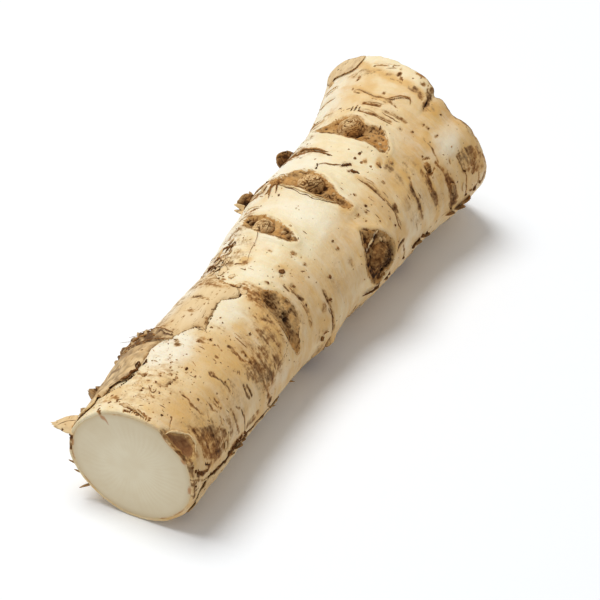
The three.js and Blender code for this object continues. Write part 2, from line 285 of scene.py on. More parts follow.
# Ovals: along, turn, half size along, half size round, strength.
stainSettings = {
    "brown": [
        (72, 12, 3, 6, 0.5), (70.5, 22, 2.4, 4, 0.6), (47, 56, 3.4, 5, 0.5), (51, 64, 4, 5, 0.6),
        (54, 73, 4.4, 5, 0.62), (60, 74, 4, 4, 0.5), (56.5, 50, 2.4, 2.8, 0.55), (64, 58, 4, 4, 0.35),
        (66, 42, 3.4, 4.6, 0.4), (58, 62, 6, 6, 0.34), (13.5, 46, 1.0, 5, 0.4), (22.5, 80, 0.8, 1.5, 0.95),
        (24, 73, 1.5, 4.5, 0.66), (52.5, 101, 1.3, 1.4, 0.95), (28, 97, 5, 1.6, 0.8), (40, 96, 4, 2, 0.7),
        (10, 104, 6, 2.4, 0.55), (1, 62, 1.4, 6, 0.7), (0.6, 72, 1.2, 3, 0.85),
        (17.6, -8.5, 1.2, 2.4, 0.42), (19.2, 0.8, 1.1, 1.7, 0.5), (5.6, -31, 1.6, 5, 0.38),
        (6.2, -21, 0.9, 1.5, 0.75), (2.4, -4, 0.8, 4, 0.4), (37.4, -7, 1.1, 1.3, 0.95),
        (35.4, -3.6, 1.5, 1.3, 0.6), (42, 10.5, 1.9, 2.1, 0.5), (51.5, 15.5, 1.6, 1.8, 0.36),
        (61, -20, 1.6, 2.2, 0.5), (71.5, -1.5, 1.0, 1.3, 0.85), (83.5, -7.5, 1.6, 1.5, 0.62),
        (83.6, -20, 0.8, 1.4, 0.55), (80, -23, 0.9, 2.4, 0.8), (73, -18, 0.8, 1.6, 0.9),
        (74.6, -14.6, 1.1, 1.1, 0.7), (84, -42, 4, 5, 0.42), (90, -50, 4, 5, 0.4), (87, -30, 3, 3, 0.4),
        (102, 62, 7, 8, 0.25), (95, 20.5, 1.0, 1.2, 0.6), (91.5, 73, 1.2, 1.8, 0.65), (87, 94, 3, 3, 0.35),
        (110.5, 64, 1.6, 3, 0.34), (144, 37, 0.9, 0.9, 0.6), (139.8, 57, 1.2, 1.6, 0.85),
        (134.5, 80, 1.6, 1.6, 0.4), (151, 34, 2.4, 1.9, 0.5), (145.5, -34, 2.2, 6, 0.6),
        (145, -50, 2.6, 3.2, 0.7), (126, -54, 4, 5, 0.6), (158, 45, 5, 5, 0.3), (150, 45, 3, 3, 0.3),
        (136, 27, 4, 4, 0.2), (180, 71, 4, 4, 0.3), (185, 76, 4, 4, 0.3), (170.5, 84, 2.2, 5, 0.72),
        (186, 16.5, 1.0, 1.2, 0.6), (189.6, 13, 1.2, 3, 0.75), (190, -6.5, 0.6, 0.7, 0.6),
        (189.4, -1, 0.7, 0.8, 0.5), (187.4, 0, 1.0, 1.1, 0.85), (185.5, 3.4, 0.8, 0.9, 0.8),
        (190, 98, 2.2, 4, 0.7), (187.6, -30, 2, 6, 0.4), (186.6, -16, 1.8, 8, 0.4),
        (179.8, 25.8, 0.9, 1.0, 0.98), (184, 25, 2.2, 1.6, 0.6), (181, 31, 1.4, 1.4, 0.4),
        (127, -34, 2, 3, 0.4), (36, -40, 4, 12, 0.5), (42, -50, 4, 8, 0.6), (82, -54, 4, 5, 0.6),
        (13, 82, 4, 3, 0.4),
    ],
    # soft lines: the points, half width, strength
    "strokes": [
        ([(178, -26), (177, -16), (175, -6.5), (175, 3)], 0.35, 0.6),
        ([(176, 4), (178, 8.5), (179, 15)], 0.4, 0.75),
        ([(179, 15), (178, 17)], 0.2, 0.6),
        ([(175.5, 4), (175, 8.5), (174.5, 12)], 0.35, 0.85),
        ([(184.5, -4), (184.4, 2), (183, 6)], 0.4, 0.55),
        ([(182.6, 11), (182.2, 16.5), (182, 22)], 0.8, 0.6),
        ([(188, 19.5), (185.5, 21), (183.5, 24)], 0.5, 0.6),
        ([(188, 24.8), (184, 25.6), (179.8, 26)], 0.8, 0.85),
        ([(180.5, 27.5), (180, 31), (181, 33)], 0.4, 0.6),
        ([(170.5, 38.5), (170, 45), (170, 51), (169, 58)], 0.35, 0.7),
        ([(168.5, 56), (169.2, 66), (170.4, 74)], 0.8, 0.72),
        ([(170, 72), (170.8, 81), (171.2, 93)], 1.7, 0.74),
        ([(171, 92), (170.5, 99)], 0.8, 0.85),
        ([(173.5, 63), (173.4, 66)], 0.4, 0.8),
        ([(176.5, 64), (177, 70), (178, 79.5), (178, 90), (178, 98)], 0.4, 0.85),
        ([(185.5, 88), (186, 95), (185.5, 100)], 0.45, 0.8),
        ([(189, 79), (192, 90), (193, 97)], 0.45, 0.7),
        ([(160.5, 54), (160, 61), (160.6, 68), (161.5, 81)], 1.0, 0.7),
        ([(161.5, 80), (161.2, 87)], 0.45, 0.7),
        ([(154, 50), (151.8, 58), (152, 73), (153, 83)], 1.1, 0.62),
        ([(148.6, 60), (149, 76), (148, 92)], 0.4, 0.5),
        ([(144.6, 104), (155, 98.5), (165, 101), (171, 98)], 0.4, 0.5),
        ([(138, 88), (140, 98), (140, 105)], 0.45, 0.8),
        ([(131.6, 84.6), (134.6, 84.2), (138.2, 83.8)], 0.7, 1.15),
        ([(82.5, 30.5), (82.5, 39.5), (84, 49.5)], 0.5, 0.7),
        ([(84, 47), (84.2, 52)], 0.8, 0.95),
        ([(84, 49.5), (84.5, 61.5), (83.5, 69), (82.5, 78)], 0.5, 0.6),
        ([(92, -3), (92, 2), (91.5, 6)], 0.3, 0.6),
        ([(91, -34.5), (87.5, -35.5), (83, -39.5), (78.5, -40), (76, -44)], 0.4, 0.9),
        ([(88, -36), (94, -33.5)], 0.4, 0.85),
        ([(80.5, -28), (80, -34), (79.5, -41)], 0.4, 0.9),
        ([(70, -16), (70.5, -12)], 0.35, 0.85),
        ([(70.5, -29), (71, -23)], 0.4, 0.8),
        ([(82, -5), (80.6, -3.4)], 0.25, 0.6),
        ([(64, 28), (64, 32), (65.5, 36), (66.5, 40), (67.5, 43)], 0.8, 0.75),
        ([(66, 36), (63.6, 37), (63.4, 33)], 0.4, 0.7),
        ([(60.5, 39), (60, 47), (59.6, 51)], 0.8, 0.75),
        ([(69.5, 46), (67, 50), (66, 55)], 0.3, 0.6),
        ([(68, 66.5), (65.5, 72.5), (60.5, 75)], 0.25, 0.85),
        ([(62, 56), (59, 63), (55, 66)], 0.5, 0.5),
        ([(46.5, 29), (46.5, 38), (46.5, 46), (48, 51)], 0.55, 0.9),
        ([(45, 30), (45.7, 40)], 0.24, 0.6),
        ([(48.6, 42), (48.4, 46)], 0.8, 0.95),
        ([(48, 50.5), (48, 52.5)], 0.9, 0.95),
        ([(43.5, 23.2), (43, 27.6)], 0.5, 0.95),
        ([(39.5, 44), (41.6, 49.2)], 0.42, 0.85),
        ([(40, 48.5), (41, 51)], 0.3, 0.7),
        ([(39.5, 60), (39, 66), (39.5, 72)], 0.6, 0.85),
        ([(40.8, 63), (41.2, 73)], 0.5, 0.85),
        ([(43, 59), (43.4, 61.6)], 0.6, 0.6),
        ([(50, 78), (50.5, 90), (52.5, 100)], 1.1, 0.62),
        ([(43, 93), (40.5, 93.5), (39, 97)], 0.8, 0.85),
        ([(30.5, 66), (32.5, 72.5), (33.5, 81.5), (34.5, 94), (33.5, 99)], 0.4, 0.88),
        ([(27.5, 65), (28, 73), (29, 83), (29.5, 91)], 0.9, 0.75),
        ([(31, 31), (32, 33.2), (31.1, 35.4), (30, 33.4), (31, 31)], 0.42, 0.95),
        ([(31, 35.6), (31.5, 41.5), (32, 47), (32, 53.5)], 0.42, 0.95),
        ([(31.9, 46), (32, 48)], 0.7, 1.0),
        ([(32, 51), (32, 53.6)], 0.65, 0.8),
        ([(22.5, 41.5), (22.8, 53)], 0.38, 0.9),
        ([(20.5, 44), (21, 55)], 0.16, 0.8),
        ([(24, 45.6), (24.5, 51.4)], 0.42, 0.9),
        ([(6.5, 28.5), (4.6, 31), (2.5, 33)], 0.2, 0.95),
        ([(6.6, 28.4), (5, 25.5)], 0.15, 0.6),
        ([(15.5, 43), (17.5, 49), (17, 56)], 1.0, 0.55),
        ([(20, 64), (22, 55), (19, 47)], 0.8, 0.5),
        ([(57, 46), (53.5, 53.5)], 1.6, 0.6),
        ([(18.5, -16), (18, -5.5)], 0.85, 0.6),
        ([(19.5, -1.2), (19.5, 1.6)], 0.65, 0.8),
        ([(21, 7.2), (21, 8.8)], 0.6, 0.9),
        ([(17.5, 13), (16.5, 11.5)], 0.5, 0.9),
        ([(2.6, -5), (2.2, 4), (1.7, 13.5)], 0.7, 0.78),
        ([(9, 48), (8, 58.5), (7.6, 72)], 0.8, 0.85),
        ([(19, 64), (18.5, 76.5), (16, 84)], 0.6, 0.8),
        ([(14, 55), (13.5, 66), (12.4, 80)], 0.25, 0.8),
        ([(11, 52), (10.6, 64), (10, 76)], 0.2, 0.8),
        ([(16.4, 60), (16, 72), (14.4, 86)], 0.2, 0.8),
        ([(12.4, 50), (12, 62), (11.4, 74)], 0.16, 0.75),
        ([(5, 91.5), (1.5, 84), (0, 81)], 0.5, 0.88),
        ([(0.3, 84), (0.6, 92), (0.4, 102)], 0.6, 0.85),
        ([(3.5, -13), (2.5, -3.5), (1.6, 3), (1.5, 10)], 0.3, 0.85),
        ([(0.5, -5.4), (0.5, -2)], 0.5, 0.95),
        ([(0.3, -78), (0.7, -86), (0.3, -93)], 0.8, 1.1),
        ([(0.3, -33), (0.3, -28)], 0.4, 0.7),
        ([(14, -3.5), (13.5, 1), (11, 2.5), (10, 6.5), (12, 6.5)], 0.22, 0.8),
        ([(10, 7), (9.5, 13.5), (8.5, 20)], 0.2, 0.7),
        ([(23, 11), (24.6, 14), (25, 18.4)], 0.42, 0.85),
        ([(16, 24.5), (16.2, 30), (16, 35.5), (15.5, 42)], 0.45, 0.95),
        ([(16.2, 24), (16.1, 26)], 0.7, 0.85),
        ([(16, 34.6), (16, 36.4)], 0.6, 0.95),
        ([(38.5, 27.4), (38.5, 28.8)], 0.7, 0.8),
        ([(0.3, 30), (0.3, 45), (0.3, 60)], 0.8, 0.8),
        ([(161, 52), (160.6, 54.5), (161.4, 57.5), (162.5, 59.4), (164.5, 60), (166.4, 58.5)], 0.6, 1.0),
        ([(164.5, 49), (166, 49.6), (167, 51)], 0.5, 0.9),
        ([(162, 60), (161.4, 64), (161, 69), (161.4, 76)], 0.9, 0.85),
        ([(187.5, 24), (184, 25), (181, 26.5), (179.4, 28)], 1.1, 0.85),
        ([(183.4, 14), (182.4, 18), (181, 22)], 0.8, 0.7),
        ([(187, 72), (189, 82), (191, 90)], 0.35, 0.85),
        ([(185.8, 90), (185.6, 95), (185.8, 99.5)], 0.45, 0.8),
    ],
    # soft bands, partly the skin's own tan and partly painted shade beside ridges and on the shade side;
    # lines as above
    "tanAndShadeBands": [
        ([(193, -34), (188.5, -22), (186, -9), (183.5, 4.5), (182.5, 14), (182, 21)], 1.9, 1.1),
        ([(182, -40), (180, -27), (176, -10), (175.5, 3.5)], 1.7, 0.95),
        ([(170, -36), (169.5, -14), (169, 0), (168, 14)], 1.6, 0.6),
        ([(171, 40), (169.5, 52), (168.8, 65.5), (170.8, 78), (172, 90), (172, 100)], 2.8, 0.85),
        ([(161, 48), (160.5, 62), (161.2, 76), (162, 94)], 2.2, 1.0),
        ([(154, 44), (151.8, 60), (152.4, 76), (153, 92)], 2.0, 1.0),
        ([(176, 62), (178, 74), (178.5, 89), (178, 102)], 1.3, 0.6),
        ([(180.4, 65), (184, 73), (187, 84)], 4.2, 1.0),
        ([(184, 25), (180, 27), (181, 33)], 1.8, 1.0),
        ([(71, 18), (67, 34), (62, 50), (58, 66), (50, 78)], 5.0, 0.7),
        ([(138.6, 20), (139, 48), (138, 76)], 1.7, 0.6),
        ([(83, 26), (84.2, 52), (83, 80)], 1.8, 0.6),
        ([(94.2, 56), (94.4, 84), (94.4, 112)], 1.3, 0.6),
        ([(146.4, -56), (146.6, -34), (145, -18)], 2.6, 0.6),
        ([(126, -62), (122, -46), (118, -34)], 3.0, 0.5),
        ([(168, -62), (166, -44)], 2.4, 0.6),
        ([(178, -60), (179, -44)], 2.0, 0.5),
        ([(43, 58), (47, 66), (52, 78)], 4.0, 0.7),
        ([(14, 46), (15, 68), (14, 90)], 6.0, 0.6),
        ([(67.5, 44), (66.2, 54), (64.6, 64), (60.5, 71)], 2.4, 0.85),
        ([(58, 62), (50, 76), (44, 94), (46, 108)], 5.0, 0.75),
        ([(36, 78), (26, 91), (16, 97)], 3.6, 0.6),
        ([(153, 28), (148.5, 43), (146.5, 58)], 4.0, 0.65),
    ],
    # whole patches: the outline and the strength
    "patches": [
        ([(1, 79), (4.5, 82), (7, 83.5), (7.6, 79), (8.4, 74), (9, 80), (10.4, 83), (10.2, 87), (8, 89.5),
          (5, 87), (2.4, 84)], 0.85),
        ([(-1, 86), (1.6, 84), (3.6, 86), (4.6, 90.5), (2.6, 88.5), (0, 89)], 0.8),
        ([(170.8, 66), (171.8, 74), (173.4, 84), (174.2, 92), (174, 99), (171, 98), (169, 92), (168.2, 80),
          (168.6, 70)], 0.75),
        ([(176, 63), (181, 63), (187, 69), (190, 80), (189, 90), (183, 88), (177.5, 78)], 0.52),
        ([(161.6, 54), (161.8, 66), (162.6, 76), (162.6, 85), (160.6, 84), (159.4, 74), (159.2, 62)], 0.74),
        ([(153.8, 50), (153, 62), (153.6, 74), (154, 83), (152, 83), (150.8, 72), (150.8, 60)], 0.74),
        ([(9.5, 45.5), (16.5, 57), (21, 69), (21.5, 83), (19.5, 90.5), (13.5, 87), (8, 77), (7.3, 64.5),
          (7.3, 54)], 0.57),
        ([(45, 52), (52, 50), (60, 57), (64, 66), (61, 76), (52, 80), (45, 70), (42.5, 60)], 0.48),
        ([(60, 40), (66, 41), (67.6, 50), (63, 57), (57, 52)], 0.42),
    ],
    "honey": [
        (35, 26, 17, 13, 0.9), (12, 30, 8, 8, 0.6), (46, 45, 7, 8, 0.6), (84.6, -9, 2.6, 2.4, 1.2),
        (136.5, 80, 4.6, 4, 2.4), (182, 32, 3, 2.6, 1.2), (149.5, 26, 1.9, 1.5, 1.3),
        (152.5, 32.5, 2.4, 2.0, 1.4), (168, 2, 12, 12, 0.45), (176, -22, 12, 12, 0.6), (89, 88, 6, 4, 0.8),
        (112, -50, 12, 12, 0.4), (147, 17, 1.6, 1.2, 0.8), (56, 25, 3.4, 3, 0.8), (128, 50, 14, 12, 0.3),
        (36, -5, 3, 3, 0.7), (87.5, 21, 2.4, 2.2, 0.9), (8, -26, 4, 4, 0.7), (122, 30, 3, 3, 0.7),
        (190, 60, 8, 6, 0.4),
    ],
    # paler places, partly paler skin and partly painted highlight
    "paleAndHighlight": [
        (34, -10, 12, 9, 1.0), (60, 6, 9, 6, 0.5), (176, 53, 7, 5.5, 0.6), (113, 5, 8, 14, 0.6),
        (138, -22, 10, 8, 0.6), (28, 84, 8, 4, 0.4), (60, 88, 9, 4, 0.4), (145, 84, 14, 6, 0.4),
        (81, 4, 5, 6, 0.5), (95, -5, 6, 5, 0.5), (92, -56, 34, 11, 0.8), (140, -52, 26, 12, 0.9),
        (180, -52, 18, 12, 0.6), (114, -22, 8, 12, 0.5),
    ],
    "soiled": [       # where specks of soil are thick
        (15, 0, 20, 14, 0.9), (44, 14, 14, 10, 0.7), (22, 46, 12, 10, 0.6), (88, -30, 14, 9, 1.0),
        (88, 34, 12, 10, 0.4), (167, 0, 8, 12, 0.3), (110, -42, 9, 9, 0.6), (148, 22, 10, 8, 0.45),
        (180, 74, 12, 12, 0.6), (60, 50, 14, 12, 0.6), (128, 40, 8, 6, 0.5), (60, -20, 20, 8, 0.4),
        (188, -10, 8, 10, 0.2),
    ],
    "wrinkled": [     # where fine brown fibres run round the root
        (125, -50, 6, 9, 1.0), (146, -44, 5, 9, 0.9), (155, -42, 4, 6, 0.6), (172, -2, 4, 12, 0.5),
        (167, -42, 9, 9, 0.5), (13, 68, 9, 12, 0.3), (30, 76, 10, 7, 0.5), (52, 62, 9, 14, 0.8),
        (64, 45, 9, 12, 0.7), (150, 70, 8, 10, 0.6), (165, 76, 12, 12, 0.5), (172, 30, 5, 14, 0.25),
        (100, -45, 6, 7, 0.8), (8, 5, 6, 11, 0.5), (88, -36, 10, 7, 0.8), (185, 82, 7, 10, 0.5),
        (108, -44, 5, 7, 0.7),
    ],
    # on the sides that the lists leave out: brown stains, and patches of each other kind
    "hiddenCount": 60,
    "hiddenPatches": 14,
}

# Dark marks with a hard edge: the line that they follow, their half width and their depth.
markSettings = {
    "lines": [
        # in the gap under the lower bark sheet's lifted edge: a crack, made darker with painted shade
        ([(8.4, -41.4), (9.3, -35), (12.6, -27.4), (16.2, -22.4), (18.6, -20.8)], 0.5, 1.5),
        ([(19.4, -23), (20.6, -21), (21.4, -22.6)], 0.4, 0.5),
        ([(37, -14), (38, -11.5), (38, -7.6)], 0.2, 0.4),
        # this line and the next two follow the upper bark sheet's edge: dark lines, partly painted shade
        # under it
        ([(39.5, -20), (40, -13), (42.5, -9.5), (45.5, -6), (47, -2.5), (46.6, 6.5)], 0.15, 0.4),
        ([(46.8, 6.5), (51, 3.4), (56.5, 0.5), (61, -2)], 0.09, 0.3),
        ([(63, -1), (66, 5.5), (67.8, 9), (69, 8.4)], 0.28, 0.5),
        ([(133.5, -9), (135.4, -10.4)], 0.3, 0.4),
        ([(140.6, 5.6), (142.6, 9)], 0.55, 0.5),
        ([(140.2, 14.2), (140.8, 19)], 0.5, 0.4),
        ([(147, -30), (145, -22), (144.6, -14), (143.5, -8)], 0.2, 0.4),
        ([(183, 25.7), (181, 26), (179.6, 26.2)], 0.24, 0.9),
        ([(163.4, 53.6), (164, 52.4), (165.2, 52.6)], 0.32, 0.5),
        ([(165.6, 55), (164.6, 56), (164.4, 57.6)], 0.32, 0.5),
        ([(193, 95), (194.2, 99)], 0.6, 0.4),
        ([(131.4, 84.2), (135, 83.6), (138, 83)], 0.32, 0.5),
        ([(90, -38), (92.5, -36.5), (95, -35)], 0.34, 0.4),
        ([(76.5, -40.5), (79.5, -35.5), (86.5, -30)], 0.3, 0.4),
        ([(87.5, -35.5), (91, -33.5), (94.5, -33)], 0.26, 0.4),
        ([(82, -47), (81.5, -29), (83.5, -25.5)], 0.26, 0.4),
        ([(7.2, 75), (7.6, 80), (9.6, 84)], 0.22, 0.3),
        ([(2.5, 113), (5, 102), (8.5, 96.5), (13.5, 98.5), (17, 100), (22.5, 101.5), (25.5, 99.5),
          (30, 102)], 0.35, 0.5),
        ([(30, 102), (39.5, 109), (50, 113), (59.5, 117)], 0.3, 0.5),
    ],
}

# Bark that hasn't peeled: two sheets on the +Y side, a rough torn band between them, and one underneath.
barkOutlines = {
    "lower": [(0.6, -58), (3, -47.5), (4, -46), (5.5, -43), (8.5, -43.5), (9.5, -36.5), (13, -29.5),
              (16.5, -24), (19, -22.5), (22.5, -20), (30.5, -20.5), (35, -18), (36.5, -24), (35.5, -36),
              (36, -52), (33, -64), (37, -80), (31, -92), (24, -90), (17, -99), (10, -93), (5, -84),
              (0.6, -72)],
    "upper": [(38.5, -12), (42, -9), (47, -2.5), (47, 6.5), (53, 2), (60, -1), (63, -1), (66, 5.5),
              (67.5, 9.8), (71, 5), (71.5, -3), (73, -16), (77, -28), (76, -40), (81, -50), (79, -64),
              (70, -70), (66, -84), (57, -80), (50, -92), (43, -84), (40, -66), (43, -54), (41.5, -32),
              (40, -20)],
    "under": [(2.5, 113), (5, 102), (8.5, 96.5), (13.5, 98.5), (17, 100), (22.5, 101.5), (25.5, 99.5),
              (30, 102), (39.5, 109), (50, 113), (59.5, 117), (66, 126), (60, 138), (52, 150), (42, 144),
              (30, 156), (16, 149), (5, 140), (2, 126)],
}
tornBand = [(38, -10), (36, -16), (35.5, -25), (34.5, -38), (34, -50), (32, -62), (35, -76), (41, -78),
            (42, -66), (45, -56), (44, -40), (42.5, -26), (41.5, -14)]

# Where the form swells: along, turn, half size along, half size round, height.
swellings = [
    (193, 6, 13, 11, 1.0), (186, 84, 16, 18, 2.0), (202, 100, 10, 16, 1.0), (204, -73, 13, 12, 3.4),
    (190, 43, 9, 5.5, -2.0),
    (127, 70, 12, 10, 0.7), (160, -8, 10, 14, 0.6), (176, 52, 9, 7, 0.8), (0, 46, 5, 6.5, -2.0),
]

# Crumbs of soil: along, turn, radius, lightness. Each has stained the skin round it.
crumbPlaces = [
        (86.5, 23, 0.99, 0.3), (85, 25.5, 0.41, 0.5), (85, 38.5, 0.54, 0.4), (84, 49.5, 0.72, 0.15),
        (84.5, 58, 0.63, 0.2), (99.5, 56.5, 0.68, 0.35), (95, 71.5, 0.81, 0.25), (26.3, 15.2, 0.54, 0.2),
        (17.5, 12.5, 0.5, 0.25), (14, 17, 0.36, 0.45), (16, 11.5, 0.45, 0.5), (21, 9, 0.36, 0.4),
        (19.5, 13, 0.32, 0.4), (24, 4, 0.27, 0.4), (26, 2, 0.27, 0.4), (12, -4, 0.36, 0.2),
        (44, 15, 0.54, 0.2), (43, 20.5, 0.36, 0.3), (48.5, 44.5, 0.54, 0.3), (63, -28, 0.54, 0.3),
        (56, -20, 0.63, 0.5), (61, -20, 0.63, 0.6), (74, -20, 0.54, 0.3), (75.4, -17, 0.45, 0.4),
        (72.8, -22, 0.45, 0.3), (83, -25, 0.45, 0.3), (86, -30, 0.63, 0.3), (82, -45, 0.63, 0.3),
        (5, -18, 0.63, 0.4), (2, 0, 0.54, 0.3), (1.2, -5, 0.45, 0.3), (1.0, 6, 0.45, 0.4),
        (1.4, 11, 0.54, 0.3), (0.9, 17, 0.36, 0.3), (18, -10, 0.63, 0.4), (11, -4, 0.45, 0.3),
        (16, 2, 0.45, 0.4), (19, 2, 0.45, 0.3), (141.5, 7, 0.99, 0.15), (142.6, 9.4, 0.72, 0.2),
        (140.3, 5, 0.54, 0.2), (139.6, 14.5, 0.81, 0.25), (140.2, 17, 0.63, 0.3), (138.9, 12.4, 0.45, 0.4),
        (147, 17, 0.63, 0.7), (149, 26, 0.72, 0.6), (153, 32, 0.81, 0.65), (184, -28, 0.45, 0.3),
        (187.4, 0, 0.36, 0.4), (190, -6.5, 0.27, 0.3), (185.5, 3.4, 0.32, 0.4), (185.5, -28.5, 0.32, 0.4),
        (178, -2.5, 0.32, 0.4), (168, 21.5, 0.36, 0.3), (174.5, 33, 0.32, 0.2), (174.5, 37, 0.36, 0.25),
        (175, 44.5, 0.36, 0.35), (182.5, 38, 0.41, 0.25), (170, 30, 0.36, 0.2), (177.5, 77, 0.41, 0.15),
        (187, 76, 0.27, 0.3), (123.5, 40, 0.45, 0.3), (129, 39.5, 0.63, 0.25), (127, 43, 0.36, 0.4),
        (129.5, 28, 0.45, 0.35), (109.5, 46, 0.45, 0.5), (135, 66, 0.54, 0.25), (139.6, 56, 0.63, 0.2),
        (144, 37, 0.36, 0.5), (129, 54.5, 0.32, 0.4), (134, 59, 0.32, 0.5), (94.5, 33.5, 0.45, 0.45),
        (95, 20.5, 0.45, 0.55), (79, 20.5, 0.41, 0.25), (53.5, 12.5, 0.41, 0.4), (83.5, -5.5, 0.36, 0.4),
        (178, 78, 0.63, 0.2), (178.5, 98, 0.72, 0.15), (170.6, 99, 0.72, 0.2), (3.4, 80, 0.81, 0.2),
        (4.8, 83, 0.72, 0.25), (2.2, 76, 0.54, 0.3), (7.6, 86, 0.63, 0.3), (1.0, 70, 0.45, 0.3),
        (1.2, 90, 0.63, 0.2), (0.8, -80, 0.72, 0.1), (1.0, -84, 0.63, 0.15), (22, 97, 0.9, 0.2),
        (25, 98, 1.08, 0.2), (28, 96, 0.99, 0.25), (31, 98, 0.9, 0.2), (34, 99, 0.72, 0.3),
        (88, 100, 1.17, 0.4), (127, 103, 0.99, 0.25), (128.6, 101, 0.72, 0.3), (140, 103, 0.81, 0.25),
        (148, 102, 1.17, 0.2), (151, 103, 1.26, 0.2), (154, 102, 0.99, 0.3), (157, 103, 0.72, 0.3),
        (184, 100, 1.08, 0.3), (187, 98, 0.81, 0.4), (181.4, 98, 0.63, 0.4),
    ]
for turn in np.arange(-0.5, 17, 1.9):      # short dashes side by side along the cut's edge
    stainSettings["strokes"].append(([(0.3, turn), (1.5, turn + 0.8)], 0.17, 0.9))
for along, turn, size, _ in crumbPlaces:
    stainSettings["brown"].append((along, turn, 0.6 + size, 0.6 + size, 0.42))

hiddenRandom = np.random.default_rng(5)


# Rings, stains and marks for the sides that the lists leave out, from `turn` 112 round to 296.
def addHiddenMarks():
    for _ in range(scarSettings["hiddenCount"]):
        along = hiddenRandom.choice(scarSettings["hiddenPlaces"]) + hiddenRandom.normal(0, 0.7)
        start = hiddenRandom.uniform(110, 270)
        reach = hiddenRandom.uniform(14, 60)
        stop = min(start + reach, 298)
        halfWidth = hiddenRandom.uniform(0.35, 0.8) + (along > 150) * 0.2
        scarSettings["rings"].append((along, start, stop, halfWidth, hiddenRandom.uniform(0.4, 0.9)))
    for _ in range(stainSettings["hiddenCount"]):
        along, turn = hiddenRandom.uniform(4, 190), hiddenRandom.uniform(112, 285)
        long, wide = hiddenRandom.uniform(1.0, 4.5), hiddenRandom.uniform(1.2, 6.5)
        stainSettings["brown"].append((along, turn, long, wide, hiddenRandom.uniform(0.3, 0.9)))
    for kind, least, most in (("honey", 4, 13), ("paleAndHighlight", 4, 12), ("soiled", 6, 16), ("wrinkled", 5, 14)):
        for _ in range(stainSettings["hiddenPatches"]):
            along, turn = hiddenRandom.uniform(4, 195), hiddenRandom.uniform(112, 290)
            size = hiddenRandom.uniform(least, most)
            stainSettings[kind].append((along, turn, size, size * 0.9, hiddenRandom.uniform(0.5, 0.9)))


addHiddenMarks()


def ovalSum(along, turn, ovals):
    perDegree = degreeLength(along)
    most = np.zeros(len(along))
    for ovalAlong, ovalTurn, halfAlong, halfRound, strength in ovals:
        across = (along - ovalAlong) / halfAlong
        around = wrapTurn(turn - ovalTurn) * perDegree / halfRound
        most = np.maximum(most, strength * np.exp(-0.7 * (across ** 2 + around ** 2) ** 1.3))
    return most


# Where the skin would lie with no relief.
def plainPoint(along, turn, lift=0.0):
    middleY, middleZ, _ = sectionAt(along)
    out = skinRadius(along, turn) + lift
    angle = np.radians(turn)
    return np.column_stack([startX + along, middleY - out * np.sin(angle), middleZ + out * np.cos(angle)])


# Like roughness3d, but drawn out round the root, as fibres are.
def fibres(place, size, seed):
    return roughness3d(place * np.array([5.0, 1.0, 1.0]), size, seed)


# Layers of roughness are given as height, size and seed; the rest is in millimetres.
reliefSettings = {
    "strayAlong": [(0.55, 3.2, 1), (0.25, 1.1, 2)],     # how far stains stray from where they are drawn
    "strayRound": [(0.55, 3.4, 3), (0.25, 1.2, 4)],
    "skin": [(0.5, 15, 6), (0.26, 6, 7), (0.08, 2.4, 8)],
    "waves": (0.16, 12, 18),         # long low waves round the root
    "strokeGroove": 0.22,            # how deep a full stroke is pressed in
    "rimReach": 3.6,                 # how far from an eye its swelling reaches
    "lipPlace": 1.1,
    "lipWidth": 0.9,
    "honeyRise": 0.08,
    "lobeRise": 1.5,                 # the crown's shoulder beside its notch
}


